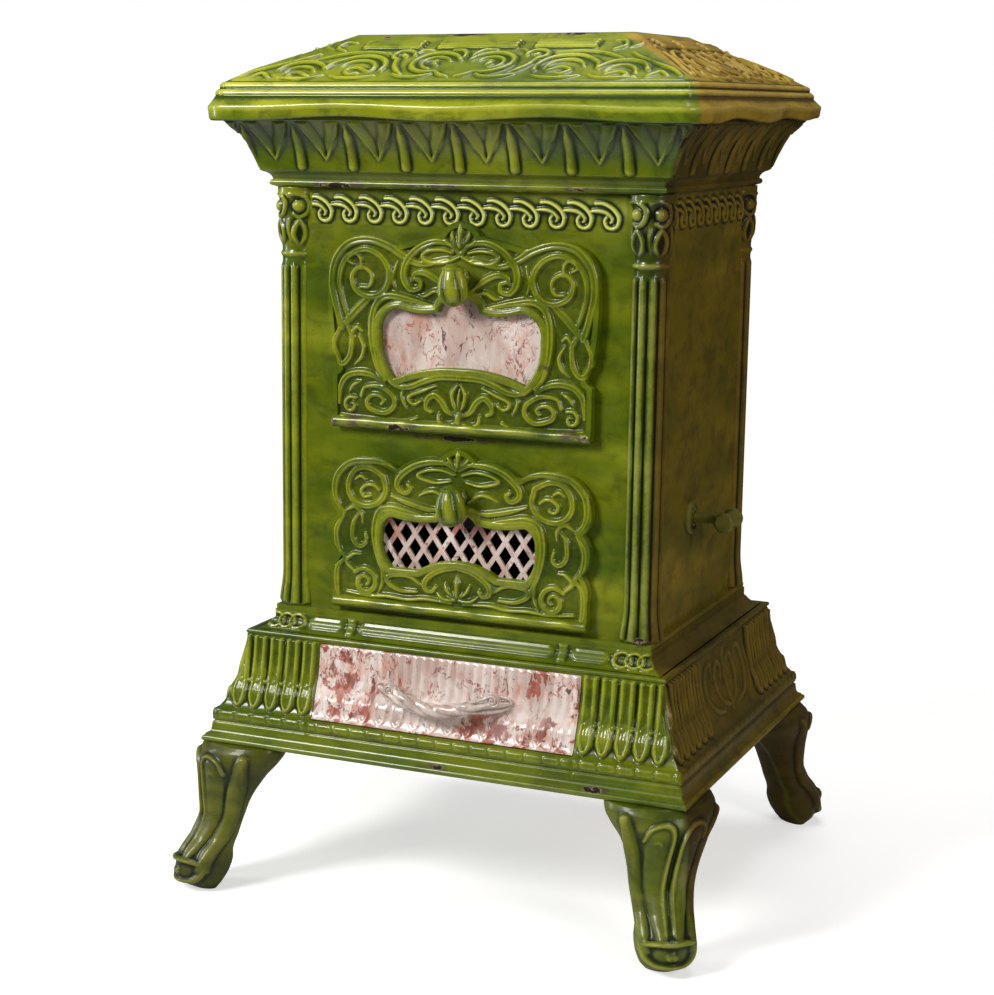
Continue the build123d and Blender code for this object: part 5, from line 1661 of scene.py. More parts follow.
def wave_vines(pitch: float, count: int, base: float, size: float = 1.0) -> list[Vine]:
    """Running-dog scroll.

    Args:
        pitch: distance from wave to wave.
        count: number of waves.
        base: height of the volutes' middles.
        size: scale of one wave.

    Returns:
        The waves' lines.
    """
    outer = ((-15.5, 15.6), (-10, 15.8), (-4.5, 14.2), (1.2, 10.8), (5.4, 6.2), (7.2, 0.8),
             (5.4, -4.6), (0.6, -6.9), (-4.6, -4.9), (-6.5, -0.2), (-4.9, 3.0))
    inner = ((-22.0, 8.2), (-14.5, 9.0), (-8.5, 8.4), (-3.6, 6.4), (-0.2, 3.2), (0.7, -0.4),
             (-0.9, -1.4))
    first = -(count - 1) / 2 * pitch
    vines = []
    for k in range(count):
        for line, width, height in ((outer, 4.5, 2.9), (inner, 4.2, 2.5)):
            path = tuple((first + k * pitch + x * size, base + y * size) for x, y in line)
            vines.append(Vine(path, width * size, height, ROUND, 0.8, 0.8, False))
    return vines


class Body:
    """Relief on the fixed castings between plinth and lid."""

    def __init__(self, frame: dict) -> None:
        """Takes the loaded frame."""
        self.nodes = frame["nodes"]

    def lay(self, report: Report, name: str, wall: str, moulding: Moulding, relief: Relief,
            material: Material, nodes: Sequence[str], pitch: float = 1.2,
            body: str = "stove", **limits: object) -> None:
        """Drapes one sheet over a wall and gives it its glaze."""
        place = on_wall(WALLS[wall], moulding, **limits)
        ends = limits.get("ends")
        width = ends[1] - ends[0] if ends else 2 * (WALLS[wall].half + moulding.points[:, 0].max())
        cells = (int(width / pitch), max(6, int(moulding.run()[-1] / pitch)))
        skin = drape(name, cells, place, relief, Casting(self.nodes[n] for n in nodes))
        report.add(skin, body, material)

    def waves(self, report: Report, glaze: Material) -> None:
        """Scroll bands along the tops of the plates."""
        for band in WAVE_BANDS:
            relief = Relief((-band.reach, 0), (band.reach, WAVE_TOP - WAVE_FOOT), band.step)
            relief.draw(wave_vines(WAVE_PITCH, band.waves, band.base)).finish(band.softness)
            upright = Moulding(np.array([(-band.inset, WAVE_FOOT), (-band.inset, WAVE_TOP)]))
            self.lay(report, f"wave_{band.wall}", band.wall, upright, relief, glaze,
                     [f"{band.wall}_plate"], band.pitch, ends=(-band.half, band.half))

    def cornice(self, report: Report, glaze: Material) -> None:
        """Leaf tips and drops on the cornice's hollow."""
        stretch = CORNICE.between(704.0, 760.0)
        length = stretch.run()[-1]
        scale = length / LEAF_HEIGHT
        for name in WALLS:
            relief = Relief((-240, -2), (240, length + 2), 0.5)
            shift = 4.0 if name == "front" else 0.0
            count = 9 if name in ("front", "back") else 7
            for k in range(-(count // 2) - 1, count // 2 + 2):
                x = k * LEAF_PITCH + shift
                relief.draw([
                    Vine(tuple((x, up * scale) for up in (15, 20, 34, 51)), 10.0, 3.4,
                         ROUND, 1.0, 0.22, False),
                    *self._tulip(x + LEAF_PITCH / 2, scale)])
            self.lay(report, f"cornice_leaves_{name}", name, stretch, relief.finish(0.5),
                     glaze, ["cornice"], 1.15)

    @staticmethod
    def _tulip(x: float, scale: float) -> list[Vine]:
        """Pointed leaf of two broad blades, tip down, with a thin raised edge."""
        out = []
        for hand in (-1, 1):
            out += [
                Vine(tuple((x + hand * a, b * scale) for a, b in
                           ((1.5, 23), (6.5, 33), (11, 43), (16, 60))), 13.0, 1.9,
                     ROUND, 0.2, 1.0, False),
                Vine(tuple((x + hand * a, b * scale) for a, b in
                           ((0, 20), (5, 27), (10, 36), (16, 43), (24, 60))), 2.6, 2.3,
                     ROUND, 0.9, 0.7, False),
            ]
        return out


ROOT_2 = 1.414


@dataclass(frozen=True)
class LidSize:
    """Sizes of the lid's shell in millimetres; a row is one line round it.

    Each row of the rim has its inset from the widest line, its height above the lid's foot,
    its share of the wave and the depth of its hollow or ridge as a tone, which paints a hollow with
    painted shade and a ridge with pale glaze and painted highlight.
    """

    foot: float = 763.8
    height: float = 78.0
    overhang: float = 56.5
    chamfer: float = 17.0
    wave_in: float = 4.5
    wave_down: float = 4.2
    plateau: Point = (142.0, 82.0)
    slope_foot: Point = (16.5, 32.0)
    wall: float = 5.0
    round_rim: float = 5.0
    round_slope: float = 2.0
    corner_run: float = 141.5
    wave_share: float = 0.82
    wave_fades: Point = (120.0, 185.0)
    lip: tuple[Point, ...] = ((21.5, 27.5), (13.0, 15.0), (8.6, 6.0))
    rim: tuple[tuple[float, ...], ...] = (
        (8.0, 0.6, 1.0, 0.0), (5.0, -0.2, 1.0, -0.5), (2.6, 0.3, 1.0, -0.2), (1.4, 2.0, 1.0, 0.0),
        (1.0, 5.0, 0.9, 0.0), (0.7, 8.0, 0.7, 0.3), (0.0, 10.0, 0.6, 0.9), (0.6, 12.0, 0.5, 0.5),
        (2.6, 13.6, 0.4, 0.0), (5.2, 16.2, 0.2, -0.1), (7.4, 18.6, 0.0, -0.7),
        (8.2, 19.4, 0.0, -0.6), (7.6, 20.8, 0.0, 0.4), (8.2, 22.8, 0.0, 0.9), (9.8, 24.6, 0.0, 0.4),
        (12.2, 25.5, 0.0, -0.7), (12.0, 26.6, 0.0, -0.5), (11.8, 28.4, 0.0, 0.5),
        (12.8, 30.4, 0.0, 0.8), (14.8, 31.6, 0.0, 0.2), (16.8, 32.1, 0.0, -0.6))


LID_ORNAMENT = (
    Vine(ring(27, 42, 23, -110, 270), 7.4, 3.4, ROUND, 0.8, 0.7),
    Vine(ring(27, 42, 13.5, -75, 235), 5.0, 2.8, ROUND, 0.6, 0.6),
    trace("26,37 28,41 27,46", 8.0, 3.2, ROUND, 0.8, 0.8),
    trace("19,20.4 12,13 4,10", 6.0, 2.8, ROUND, 1.0, 0.6),
    trace("22,15 34,8 50,9 60,15", 6.0, 3.0, ROUND, 0.5, 0.6),
    Vine(ring(67, 61, 10.5, -70, 250), 6.2, 3.2, ROUND, 0.9, 0.7),
    trace("66,60 67.5,62", 7.0, 3.0, ROUND, 1, 1),
    trace("70.6,51 67,36 60,24 54,17", 6.6, 3.2, ROUND, 1.0, 0.5),
    trace("4.5,51 5,64 11,73 22,75", 5.4, 2.8, ROUND, 0.5, 0.5),
    trace("56,66 52,73 42,75", 5.0, 2.6, LEAF, 0.8, 0.4),
    Vine(ring(104, 31, 28, 195, -150), 7.4, 3.4, ROUND, 0.7, 0.8),
    Vine(ring(104, 30, 18, 200, -190), 5.4, 2.8, ROUND, 0.6, 0.6),
    trace("90,22 102,30 112,24 106,15 98,18", 5.2, 2.8, ROUND, 0.8, 0.6),
    trace("123.8,50.8 134,40 136,28", 6.4, 3.0, ROUND, 1.0, 0.6),
    trace("78,12 92,6 112,6 124,12", 5.6, 2.8, ROUND, 0.5, 0.5),
    trace("84,66 102,69 126,66 146,56 156,49", 6.2, 3.0, ROUND, 0.5, 0.6),
    Vine(ring(160, 20, 25, 160, -150), 7.2, 3.4, ROUND, 0.7, 0.8),
    Vine(ring(160, 18, 15, 165, -165), 5.2, 2.8, ROUND, 0.6, 0.6),
    trace("148,12 160,19 169,13 163,7", 5.2, 2.6, ROUND, 0.8, 0.6),
    trace("132,14 142,6 160,5 178,8", 5.0, 2.6, ROUND, 0.5, 0.5),
    trace("158,66 170,53 188,38 208,24 218,12", 6.6, 3.0, ROUND, 0.5, 0.7),
    trace("188,8 198,18 206,12", 5.4, 2.8, ROUND, 0.7, 0.6),
    trace("136,74 146,82 142,94 132,95", 5.2, 2.8, ROUND, 0.6, 0.6),
    trace("150,78 160,86 158,98", 5.0, 2.6, LEAF, 0.5, 0.4),
)


class Lid:
    """The hipped lid: a shell with a waved, moulded rim, and its scroll work."""

    EAVES = 40.0  # overhang at the foot of the slopes
    DRAWN_LENGTH = 117.4  # length of slope that LID_ORNAMENT is drawn for

    def __init__(self, body: Body, size: LidSize = LidSize()) -> None:
        """Lists the rows of the shell, from its ceiling round the rim to the plateau."""
        self.body, self.size = body, size
        wide, deep = self.wide, self.deep = BODY_X + size.overhang, BODY_Y + size.overhang
        corner = wide + deep - size.chamfer
        inset, foot = size.slope_foot
        start = (wide - inset, deep - inset, corner - inset * ROOT_2, foot)
        top = (*size.plateau, start[2] - size.corner_run, size.height)
        slope = [[a + (b - a) * t for a, b in zip(start, top)] for t in np.linspace(0, 1, 22)[1:]]
        inner = [[r - size.wall for r in row[:3]] + [row[3] - size.wall * 0.9] for row in slope]
        lip, rim = ([[wide - o, deep - o, corner - ROOT_2 * o, z] for o, z, *_ in line]
                    for line in (size.lip, size.rim))
        plain = [0.0, 0.0, size.round_slope]
        rows = [row + plain for row in inner[::-1]] + [row + plain for row in lip]
        rows += [row + [wave, tone, size.round_rim * (1 - 0.5 * (z[1] > 19))]
                 for row, z, (_, _, wave, tone) in zip(rim, size.rim, size.rim)]
        rows += [row + plain for row in slope]
        self.rows = np.array(rows)

    def _corners(self, row: Array) -> Array:
        """The eight corners of rows, from the front's left end on, anticlockwise."""
        hx, hy, cut = row[:, 0], row[:, 1], row[:, 2]
        c = np.maximum(1.0, hx + hy - cut)
        signs = ((-1, -1, 1, 0), (1, -1, 1, 0), (1, -1, 0, 1), (1, 1, 0, 1),
                 (1, 1, 1, 0), (-1, 1, 1, 0), (-1, 1, 0, 1), (-1, -1, 0, 1))
        return np.stack([np.column_stack([sx * (hx - c * cx), sy * (hy - c * cy)])
                         for sx, sy, cx, cy in signs], axis=1)

    def _outline(self, u: Array, row: Array) -> Array:
        """Plan of rows at shares of the way round, with softened corners."""
        first = self._corners(self.rows[len(self.rows) // 2][None])[0]
        sides = np.hypot(*(np.roll(first, -1, axis=0) - first).T)
        marks = np.concatenate([[0], np.cumsum(sides)])
        corners = self._corners(row)
        total = np.zeros((len(u), 2))
        shifts = np.linspace(-1, 1, 7)
        for shift in shifts:
            s = (u * marks[-1] + shift * row[:, 6]) % marks[-1]
            side = np.clip(np.searchsorted(marks, s, side="right") - 1, 0, 7)
            share = ((s - marks[side]) / sides[side])[:, None]
            pick = np.arange(len(u))
            total += corners[pick, side] * (1 - share) + corners[pick, (side + 1) % 8] * share
        return total / len(shifts)

    def _shape(self, u: Array, v: Array) -> Pair:
        """Bends the grid to the lid's shell."""
        size = self.size
        index = v * (len(self.rows) - 1)
        row = np.column_stack([np.interp(index, np.arange(len(self.rows)), self.rows[:, k])
                               for k in range(7)])
        plan = self._outline(u, row)
        x, y = plan.T
        share_x, share_y = np.abs(x) / self.wide, np.abs(y) / self.deep
        across = share_x < share_y
        along = np.where(across, share_x, share_y)
        bulge = np.where(along > size.wave_share, 1.0,
                         0.5 + 0.5 * np.cos(math.tau * along / size.wave_share))
        ahead = 1 - ramp(y, *size.wave_fades)
        inward = size.wave_in * (1 - bulge) * row[:, 4] * ahead
        x = x - np.where(across, 0, np.sign(x) * inward)
        y = y - np.where(across, np.sign(y) * inward, 0)
        z = size.foot + row[:, 3] - size.wave_down * bulge * row[:, 4] * ahead
        return np.column_stack([x, y, z]), row[:, 5]

    def build(self, report: Report, glaze: Material) -> None:
        """Makes the shell and lays the scroll work on it.

        Args:
            report: list of pieces.
            glaze: its glaze.
        """
        shell = closed_mesh("lid_shell", 700, 4 * (len(self.rows) - 1) // 3, self._shape)
        report.add(shell, "lid", glaze, replaces="lid")
        self._scrolls(report, glaze)

    def _scrolls(self, report: Report, glaze: Material) -> None:
        """Scroll work on the four slopes."""
        for name, wall in WALLS.items():
            run, cross = (68.0, 53.0) if name in ("front", "back") else (53.0, 68.0)
            slope = Moulding(np.array([(39.0, 796.3), (-run + 1.0, 841.4)]))
            length = slope.run()[-1]
            half = wall.half

            def taper(v: Array, cross: float = cross, run: float = run, wall: Wall = wall) -> Array:
                """Half width of the slope at a share of its run."""
                reach = wall.depth + self.EAVES - v * (run + self.EAVES)
                mitre = wall.half + self.EAVES - v * (cross + self.EAVES)
                chamfer = BODY_X + BODY_Y + 72.7 - self.size.corner_run * v
                return np.minimum(mitre, chamfer - reach) - 1.5

            relief = Relief((-half - 45, -2), (half + 45, length + 2), 0.55)
            relief.draw(self._lid_vines(length, half)).finish(0.5)
            self.body.lay(report, f"lid_scrolls_{name}", name, slope, relief,
                          glaze, ["lid"], 1.25, "lid", taper=taper)

    @staticmethod
    def _lid_vines(length: float, half: float) -> list[Vine]:
        """Lines of one slope: mirrored scrolls in the middle, waves beside, bars on top.

        Args:
            length: height of the slope along itself.
            half: half width of the body on that side.

        Returns:
            The lines of the right-hand half, each with its twin.
        """
        s = length / Lid.DRAWN_LENGTH
        wide = half / BODY_X
        vines = [replace(vine, path=tuple((x * wide, y * s) for x, y in vine.path),
                         width=vine.width * s ** 0.5 * 0.94, height=vine.height * 0.84)
                 for vine in LID_ORNAMENT]
        for low, high in ((-119, -57), (-41, 41), (57, 119)):
            for row, rise in ((81, 2.9), (87, 3.3), (93, 2.9)):
                bar = ((low * wide + 3, row * s), (high * wide - 3, row * s))
                vines.append(Vine(bar, 7.0, rise, SLAB, 1, 1, False))
        return vines


LOOP, FIRST_LOOP = 18.4, 148.2
RIBS_FOOT, RIBS_TOP = 157.5, 253.0


class Plinth:
    """Relief on the plinth: gadroons, loops, brick course and scrolls."""

    def __init__(self, frame: dict) -> None:
        """Takes the loaded frame."""
        self.nodes = frame["nodes"]
        self.stretch = PLINTH.between(RIBS_FOOT, RIBS_TOP)
        self.run = self.stretch.run()
        self.length = self.run[-1]

    def _row(self, z: float) -> float:
        """Distance up the moulding at a height."""
        return float(np.interp(z, self.stretch.points[:, 1], self.run))

    def _unrolled(self, vines: Iterable[Vine]) -> list[Vine]:
        """Lines that are drawn at their real heights, laid on the unrolled moulding."""
        return [replace(vine, path=tuple((x, self._row(z)) for x, z in vine.path))
                for vine in vines]

    def _ribs(self, xs: Sequence[float], ground: float = 2.9) -> list[Vine]:
        """Close tall ribs, two to each U loop.

        Args:
            xs: middles of the loops.
            ground: height of the ribs' common ground, which covers the casting's own ribs.

        Returns:
            The lines.
        """
        vines: list[Vine] = []
        for x in xs:
            vines += [
                Vine(((x, 192), (x, 222), (x, RIBS_TOP)), LOOP + 0.6, ground, SLAB, 1, 1, False),
                Vine(((x - 4.8, 205), (x - 5.2, 194), (x - 3.8, 186), (x, 182.5), (x + 3.8, 186),
                      (x + 5.2, 194), (x + 4.8, 205)), 3.4, ground + 2.0, ROUND, 0.9, 0.9, False),
            ]
            for hand in (-1, 1):
                edge = x + hand * (LOOP / 4)
                vines += [
                    Vine(((edge, 207), (edge, 228), (edge, RIBS_TOP)), 6.6, ground + 2.1, ROUND,
                         0.6, 1.0, False),
                    Vine(((x + hand * 1.7, 203), (x + hand * 1.5, 190)), 2.4, ground + 1.1, ROUND,
                         0.8, 0.6, False),
                ]
        return self._unrolled(vines)

    def _courses(self, half: float) -> list[Vine]:
        """Brick course under the ribs."""
        low, high = self._row(168.5), self._row(176.5)
        middle = (low + high) / 2
        count = int(half / LOOP) + 1
        return [Vine(((k * LOOP + 1.2 + 2.6, middle), ((k + 1) * LOOP - 1.2 - 2.6, middle)),
                     high - low, 1.5, SLAB, 1, 1, False) for k in range(-count, count)]

    def build(self, report: Report, glaze: Material, marble: Material) -> None:
        """Lays the sheets on all four sides and on the drawer.

        Args:
            report: list of pieces.
            glaze: glaze of the castings.
            marble: enamel of the drawer front.
        """
        wings = [(FIRST_LOOP + k * LOOP) * hand for k in range(5) for hand in (-1, 1)]
        bead = self._unrolled(Vine(((x, 206.5), (x + 0.1, 206.6)), 4.4, 4.4, ROUND, 1, 1, False)
                              for x in np.arange(-240, 240, LOOP / 2))
        relief = Relief((-250, -2), (250, self.length + 2), 0.5)
        relief.draw(self._ribs(wings)).draw(bead).draw(self._courses(240)).finish(0.5, 0.42)
        for hand, lo, hi in ((-1, -246.0, -139.6), (1, 139.6, 246.0)):
            self._sheet(report, f"plinth_ribs_{'left' if hand < 0 else 'right'}", "front",
                        self.stretch, relief, glaze, "plinth_front", (lo, hi), hand)
        course = self.stretch.between(RIBS_FOOT, 177.0)
        self._sheet(report, "plinth_course", "front", course, relief, glaze, "plinth_front",
                    (-139.0, 139.0), 0)
        self._step(report, glaze)
        sides = Relief((-250, -2), (250, self.length + 2), 0.55)
        side_xs = [162.0 - k * LOOP for k in range(-1, 5)]
        sides.draw(self._ribs(side_xs)).draw(self._ribs([-x for x in side_xs]))
        sides.draw(self._floral()).draw(self._courses(205)).finish(0.55, 0.6)
        for name in ("right", "back", "left"):
            self._sheet(report, f"plinth_relief_{name}", name, self.stretch, sides,
                        glaze, f"plinth_{name}", None, 0)
        drawer = Relief((-145, -2), (145, self.length + 2), 0.5)
        ribs = [(k + 0.5) * LOOP for k in range(-8, 8)]
        soft = [v.bolder(1.0, 0.5) for v in self._ribs(ribs, 0.0) if v.section is not SLAB]
        drawer.draw(soft).finish(0.7)
        self._sheet(report, "drawer_relief", "front", self.stretch.between(179.5, 250.5), drawer,
                    marble, "ash_drawer_front", (-137.5, 137.5), 0, "ash_drawer", "marbled_enamel")

    def _step(self, report: Report, glaze: Material) -> None:
        """Panels, short pilasters and corner knots on the cove over the front's ledge."""
        cove = PLINTH.between(258.5, 275.2)
        high = cove.run()[-1]
        relief = Relief((-225, -2), (225, high + 2), 0.45)
        lines = [
            Vine(((112, 2), (112, high - 1)), 9.0, 2.4, SLAB, 1, 1),
            Vine(((0, high / 2), (97, high / 2)), high - 8, 1.7, SLAB, 1, 1),
            Vine(((127, high / 2), (153, high / 2)), high - 8, 1.7, SLAB, 1, 1),
            *(Vine(ring(x, high / 2, 8.5, 0, 360), 3.6, rise, ROUND, 1, 1)
              for x, rise in ((172, 2.8), (184, 3.2), (196, 2.8))),
        ]
        relief.draw(lines).finish(0.6, 0.6)
        place = on_wall(WALLS["front"], cove)
        cells = (int(2 * (BODY_X + 23) / 1.1), int(high / 1.1))
        skin = drape("plinth_step", cells, place, relief, None)
        report.add(skin, "stove", glaze)

    def _sheet(self, report: Report, name: str, wall: str, moulding: Moulding, relief: Relief,
               material: Material, node: str, ends: tuple[float, float] | None,
               hand: int, body: str = "stove", slot: str = "green_enamel") -> None:
        """Drapes one sheet, offset so that the raster lines up with the whole moulding."""
        start = self._row(float(moulding.points[0, 1]))
        whole = on_wall(WALLS[wall], moulding, ends)
        limit = WALLS[wall]

        def spot(u: Array, v: Array) -> Spot:
            """Places for u and v, kept inside the mitre."""
            at = whole(u, v)
            if not hand:
                return replace(at, up=at.up + start)
            out, up, _, _ = moulding.at(v)
            outer = hand * (limit.half + out)
            low, high = (outer, ends[1]) if hand < 0 else (ends[0], outer)
            along = low + u * (high - low)
            run = moulding.run()[-1]
            edge = np.minimum.reduce([v * run, (1 - v) * run, along - low, high - along])
            return Spot(limit.place(along, out, up), at.out, along, at.up + start, edge)

        width = (ends[1] - ends[0]) if ends else 2 * (limit.half + 52)
        cells = (int(width / 1.15), max(6, int(moulding.run()[-1] / 1.1)))
        skin = drape(name, cells, spot, relief, Casting([self.nodes[node]]))
        report.add(skin, body, material, slot)

    def _floral(self) -> list[Vine]:
        """Low flower scrolls between the ribs of a side."""
        return self._unrolled([
            trace("0,186 0,215 0,246", 8.0, 2.6, LEAF, 0.6, 0.9, False),
            trace("4,192 22,200 32,220 22,238 10,232 12,220", 6.0, 2.6, CH, 0.6, 0.6),
            trace("26,190 48,196 62,214 56,236 42,240 38,226", 6.0, 2.6, CH, 0.6, 0.6),
            trace("64,190 76,210 72,240", 5.0, 2.2, LEAF, 0.5, 0.5),
        ])


# -------------------- small castings
PULL_HEIGHTS = {"upper_door": 610.0, "lower_door": 400.6}


class Fittings:
    """The doors' ribbed pulls and the drawer's handle."""

    def pull(self, report: Report, door: str, z: float, material: Material) -> None:
        """Ribbed bud on its stem.

        Args:
            report: list of pieces.
            door: node and body name of the door.
            z: height of the bud's middle.
            material: its glaze.
        """
        y, half, radius = -169.6, 20.6, 12.4

        def shape(u: Array, v: Array) -> Pair:
            """Bends the grid to the bud."""
            t = v * 2 - 1
            body = np.interp(t, [-1, -0.93, -0.75, -0.45, -0.1, 0.3, 0.6, 0.8, 0.93, 1.0],
                             [0.04, 0.40, 0.78, 0.98, 1.0, 0.90, 0.72, 0.58, 0.40, 0.05])
            angle = u * math.tau
            lobes = np.abs(np.cos(angle * 2.5 + t * 0.9 + 0.5))
            cut = ramp(t, -0.92, -0.5) * (1 - ramp(t, 0.62, 0.85))
            r = radius * body * (1 - 0.17 * cut * (1 - lobes ** 0.55))
            r = r + 1.5 * np.exp(-((t - 0.76) / 0.07) ** 2)
            places = [1.22 * r * np.cos(angle), y + r * np.sin(angle), z + t * half]
            # lobes get a pale tone and the grooves between them a dark one: thinner glaze and
            # painted highlight, pooled glaze and painted shade
            return (np.column_stack(places), np.clip(cut * (lobes * 0.95 - 0.34), -1, 1))

        bud = closed_mesh(f"{door}_bud", 84, 56, shape, smooth_ends=True)
        report.add(bud, door, material, replaces=f"{door}_pull")
        report.add(self._stem(f"{door}_stem", y, z + 6.0), door, material)

    @staticmethod
    def _stem(name: str, y: float, z: float) -> Object:
        """Turned stem with a small rosette on the door."""
        low, high = -150.7, y + 2.0

        def shape(u: Array, v: Array) -> Pair:
            """Bends the grid to the stem."""
            r = np.interp(v, [0, 0.04, 0.12, 0.3, 0.38, 0.55, 1.0],
                          [0.2, 9.0, 9.6, 8.4, 6.4, 5.2, 5.6])
            angle = u * math.tau
            r = r * (1 + 0.05 * np.cos(angle * 8) * (v < 0.35))
            return (np.column_stack([r * np.cos(angle), low + v * (high - low),
                                     z + r * np.sin(angle)]), np.zeros_like(u))

        return closed_mesh(name, 64, 24, shape, smooth_ends=True)

    def handle(self, report: Report, material: Material) -> None:
        """Leaf-ended bail of the ash drawer."""
        low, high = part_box("ash_drawer_handle")
        (x0, y0, z0), (x1, y1, z1) = ([c / MM for c in corner] for corner in (low, high))
        middle, span = (x0 + x1) / 2, (x1 - x0) / 2

        def line(t: Array) -> Array:
            """Middle line of the bail, t from -1 to 1."""
            s = np.abs(t)
            x = middle + span * 0.93 * t
            y = y1 - 4.5 - (y1 - y0 - 11.7) * (1 - ramp(s, 0.45, 0.98))
            z = z1 - 9.0 - (z1 - z0 - 16.2) * (1 - ramp(s, 0.0, 0.75))
            return np.column_stack([x, y, z])

        def shape(u: Array, v: Array) -> Pair:
            """Bends the grid to the bail."""
            t = v * 2 - 1
            centre = line(t)
            ahead = line(np.clip(t + 0.01, -1, 1)) - line(np.clip(t - 0.01, -1, 1))
            ahead /= np.linalg.norm(ahead, axis=1)[:, None]
            side = np.cross(ahead, [0, 0, 1.0])
            side /= np.linalg.norm(side, axis=1)[:, None]
            lift = np.cross(side, ahead)
            s = np.abs(t)
            angle = u * math.tau
            thick = np.interp(s, [0, 0.2, 0.5, 0.62, 0.74, 0.86, 0.95, 1.0],
                              [7.2, 6.9, 6.3, 7.5, 8.8, 7.8, 5.0, 0.6])
            flat = np.interp(s, [0, 0.5, 0.7, 1.0], [1.0, 1.0, 0.55, 0.6])
            leaf = ramp(s, 0.5, 0.62)
            veins = 1 + leaf * 0.16 * np.cos(angle * 5)
            twist = 1 + 0.07 * np.cos(angle * 4 + t * 22) * (1 - leaf)
            r = thick * veins * twist
            place = (centre + side * (r * np.cos(angle) * flat)[:, None]
                     + lift * (r * np.sin(angle))[:, None])
            # grooves between the veins and twists get a dark tone, which the enamel turns into
            # painted shade
            return place, np.clip((veins * twist - 1) * 6, -1, 1)

        bail = closed_mesh("drawer_bail", 56, 240, shape, smooth_ends=True)
        report.add(bail, "ash_drawer", material, "marbled_enamel", "ash_drawer_handle")
        for t, name in ((-0.66, "left"), (0.78, "right")):
            x, y, z = line(np.array([t]))[0]
            self._curl(report, f"drawer_curl_{name}", (x, y - 3.0, z + 4.5), material)

    @staticmethod
    def _curl(report: Report, name: str, at: Point3, material: Material) -> None:
        """Rolled leaf tip of the drawer handle, seen as a ringed boss.

        Args:
            report: list of pieces.
            name: object name.
            at: its middle in millimetres.
            material: its enamel.
        """
        def shape(u: Array, v: Array) -> Pair:
            """Bends the grid to the boss, v from its eye round to its back."""
            angle = u * math.tau
            r = 8.2 * np.interp(v, [0, 0.55, 0.75, 1.0], [0.02, 0.86, 1.0, 0.55])
            coil = np.cos(math.tau * (v / 0.27) - angle)
            deep = np.interp(v, [0, 0.3, 0.6, 0.75, 1.0], [5.4, 4.6, 3.0, 0.5, -4.5])
            deep = deep + 0.9 * coil * (1 - ramp(v, 0.5, 0.66))
            # the coil's grooves get a dark tone, which the enamel turns into painted shade
            return (np.column_stack([at[0] + r * np.cos(angle), at[1] - deep,
                                     at[2] + 0.92 * r * np.sin(angle)]),
                    0.5 * coil * (1 - ramp(v, 0.5, 0.66)))

        boss = closed_mesh(name, 48, 36, shape, smooth_ends=True)
        report.add(boss, "ash_drawer", material, "marbled_enamel")


# -------------------- studio
@dataclass(frozen=True)
class Camera:
    """The photo's camera: angles in degrees, places in metres, picture in pixels."""

    azimuth: float = 25.16
    elevation: float = 11.50
    roll: float = 0.28
    focal: float = 2106.3
    place: Point3 = (0.7959, -1.97595, 0.7707)
    shift: Point = (-96.4, 40.5)
    width: int = 994
    height: int = 995

    def build(self) -> Object:
        """Makes the camera."""
        data = bpy.data.cameras.new("camera")
        camera = bpy.data.objects.new("camera", data)
        bpy.context.scene.collection.objects.link(camera)
        az, el, roll = (math.radians(v) for v in (self.azimuth, self.elevation, self.roll))
        back = Vector((math.sin(az) * math.cos(el), -math.cos(az) * math.cos(el), math.sin(el)))
        right = Vector((math.cos(az), math.sin(az), 0))
        up = back.cross(right)
        across = right * math.cos(roll) + up * math.sin(roll)
        above = up * math.cos(roll) - right * math.sin(roll)
        turn = Matrix((across, above, back)).transposed()
        camera.matrix_world = Matrix.Translation(self.place) @ turn.to_4x4()
        data.sensor_width = 36.0
        large = max(self.width, self.height)
        data.lens = self.focal / large * 36.0
        data.shift_x = -self.shift[0] / large
        data.shift_y = self.shift[1] / large
        data.clip_start, data.clip_end = 0.05, 60.0
        bpy.context.scene.camera = camera
        return camera


@dataclass(frozen=True)
class Softbox:
    """One area light."""

    name: str
    place: Point3
    aim: Point3
    size: Point
    watts: float
    colour: Point3 = (1.0, 1.0, 1.0)

    def build(self) -> Object:
        """Makes the light."""
        data = bpy.data.lights.new(self.name, "AREA")
        data.shape = "RECTANGLE"
        data.size, data.size_y = self.size
        data.energy = self.watts
        data.color = self.colour
        light = bpy.data.objects.new(self.name, data)
        bpy.context.scene.collection.objects.link(light)
        light.location = self.place
        light.rotation_euler = (Vector(self.aim) - Vector(self.place)).to_track_quat(
            "-Z", "Y").to_euler()
        return light


SOFTBOXES = (
    Softbox("key", (-1.5, -2.3, 2.1), (0, 0, 0.5), (0.8, 1.0), 88.0, (1.0, 0.985, 0.95)),
    Softbox("side", (-2.4, -0.7, 0.9), (0, 0, 0.5), (0.4, 1.4), 22.0),
    Softbox("fill", (2.6, -1.6, 1.5), (0, 0, 0.45), (0.8, 1.4), 34.0, (1.0, 0.95, 0.86)),
    Softbox("top", (0.1, 0.3, 2.9), (0, 0, 0.5), (1.6, 1.1), 34.0),
)


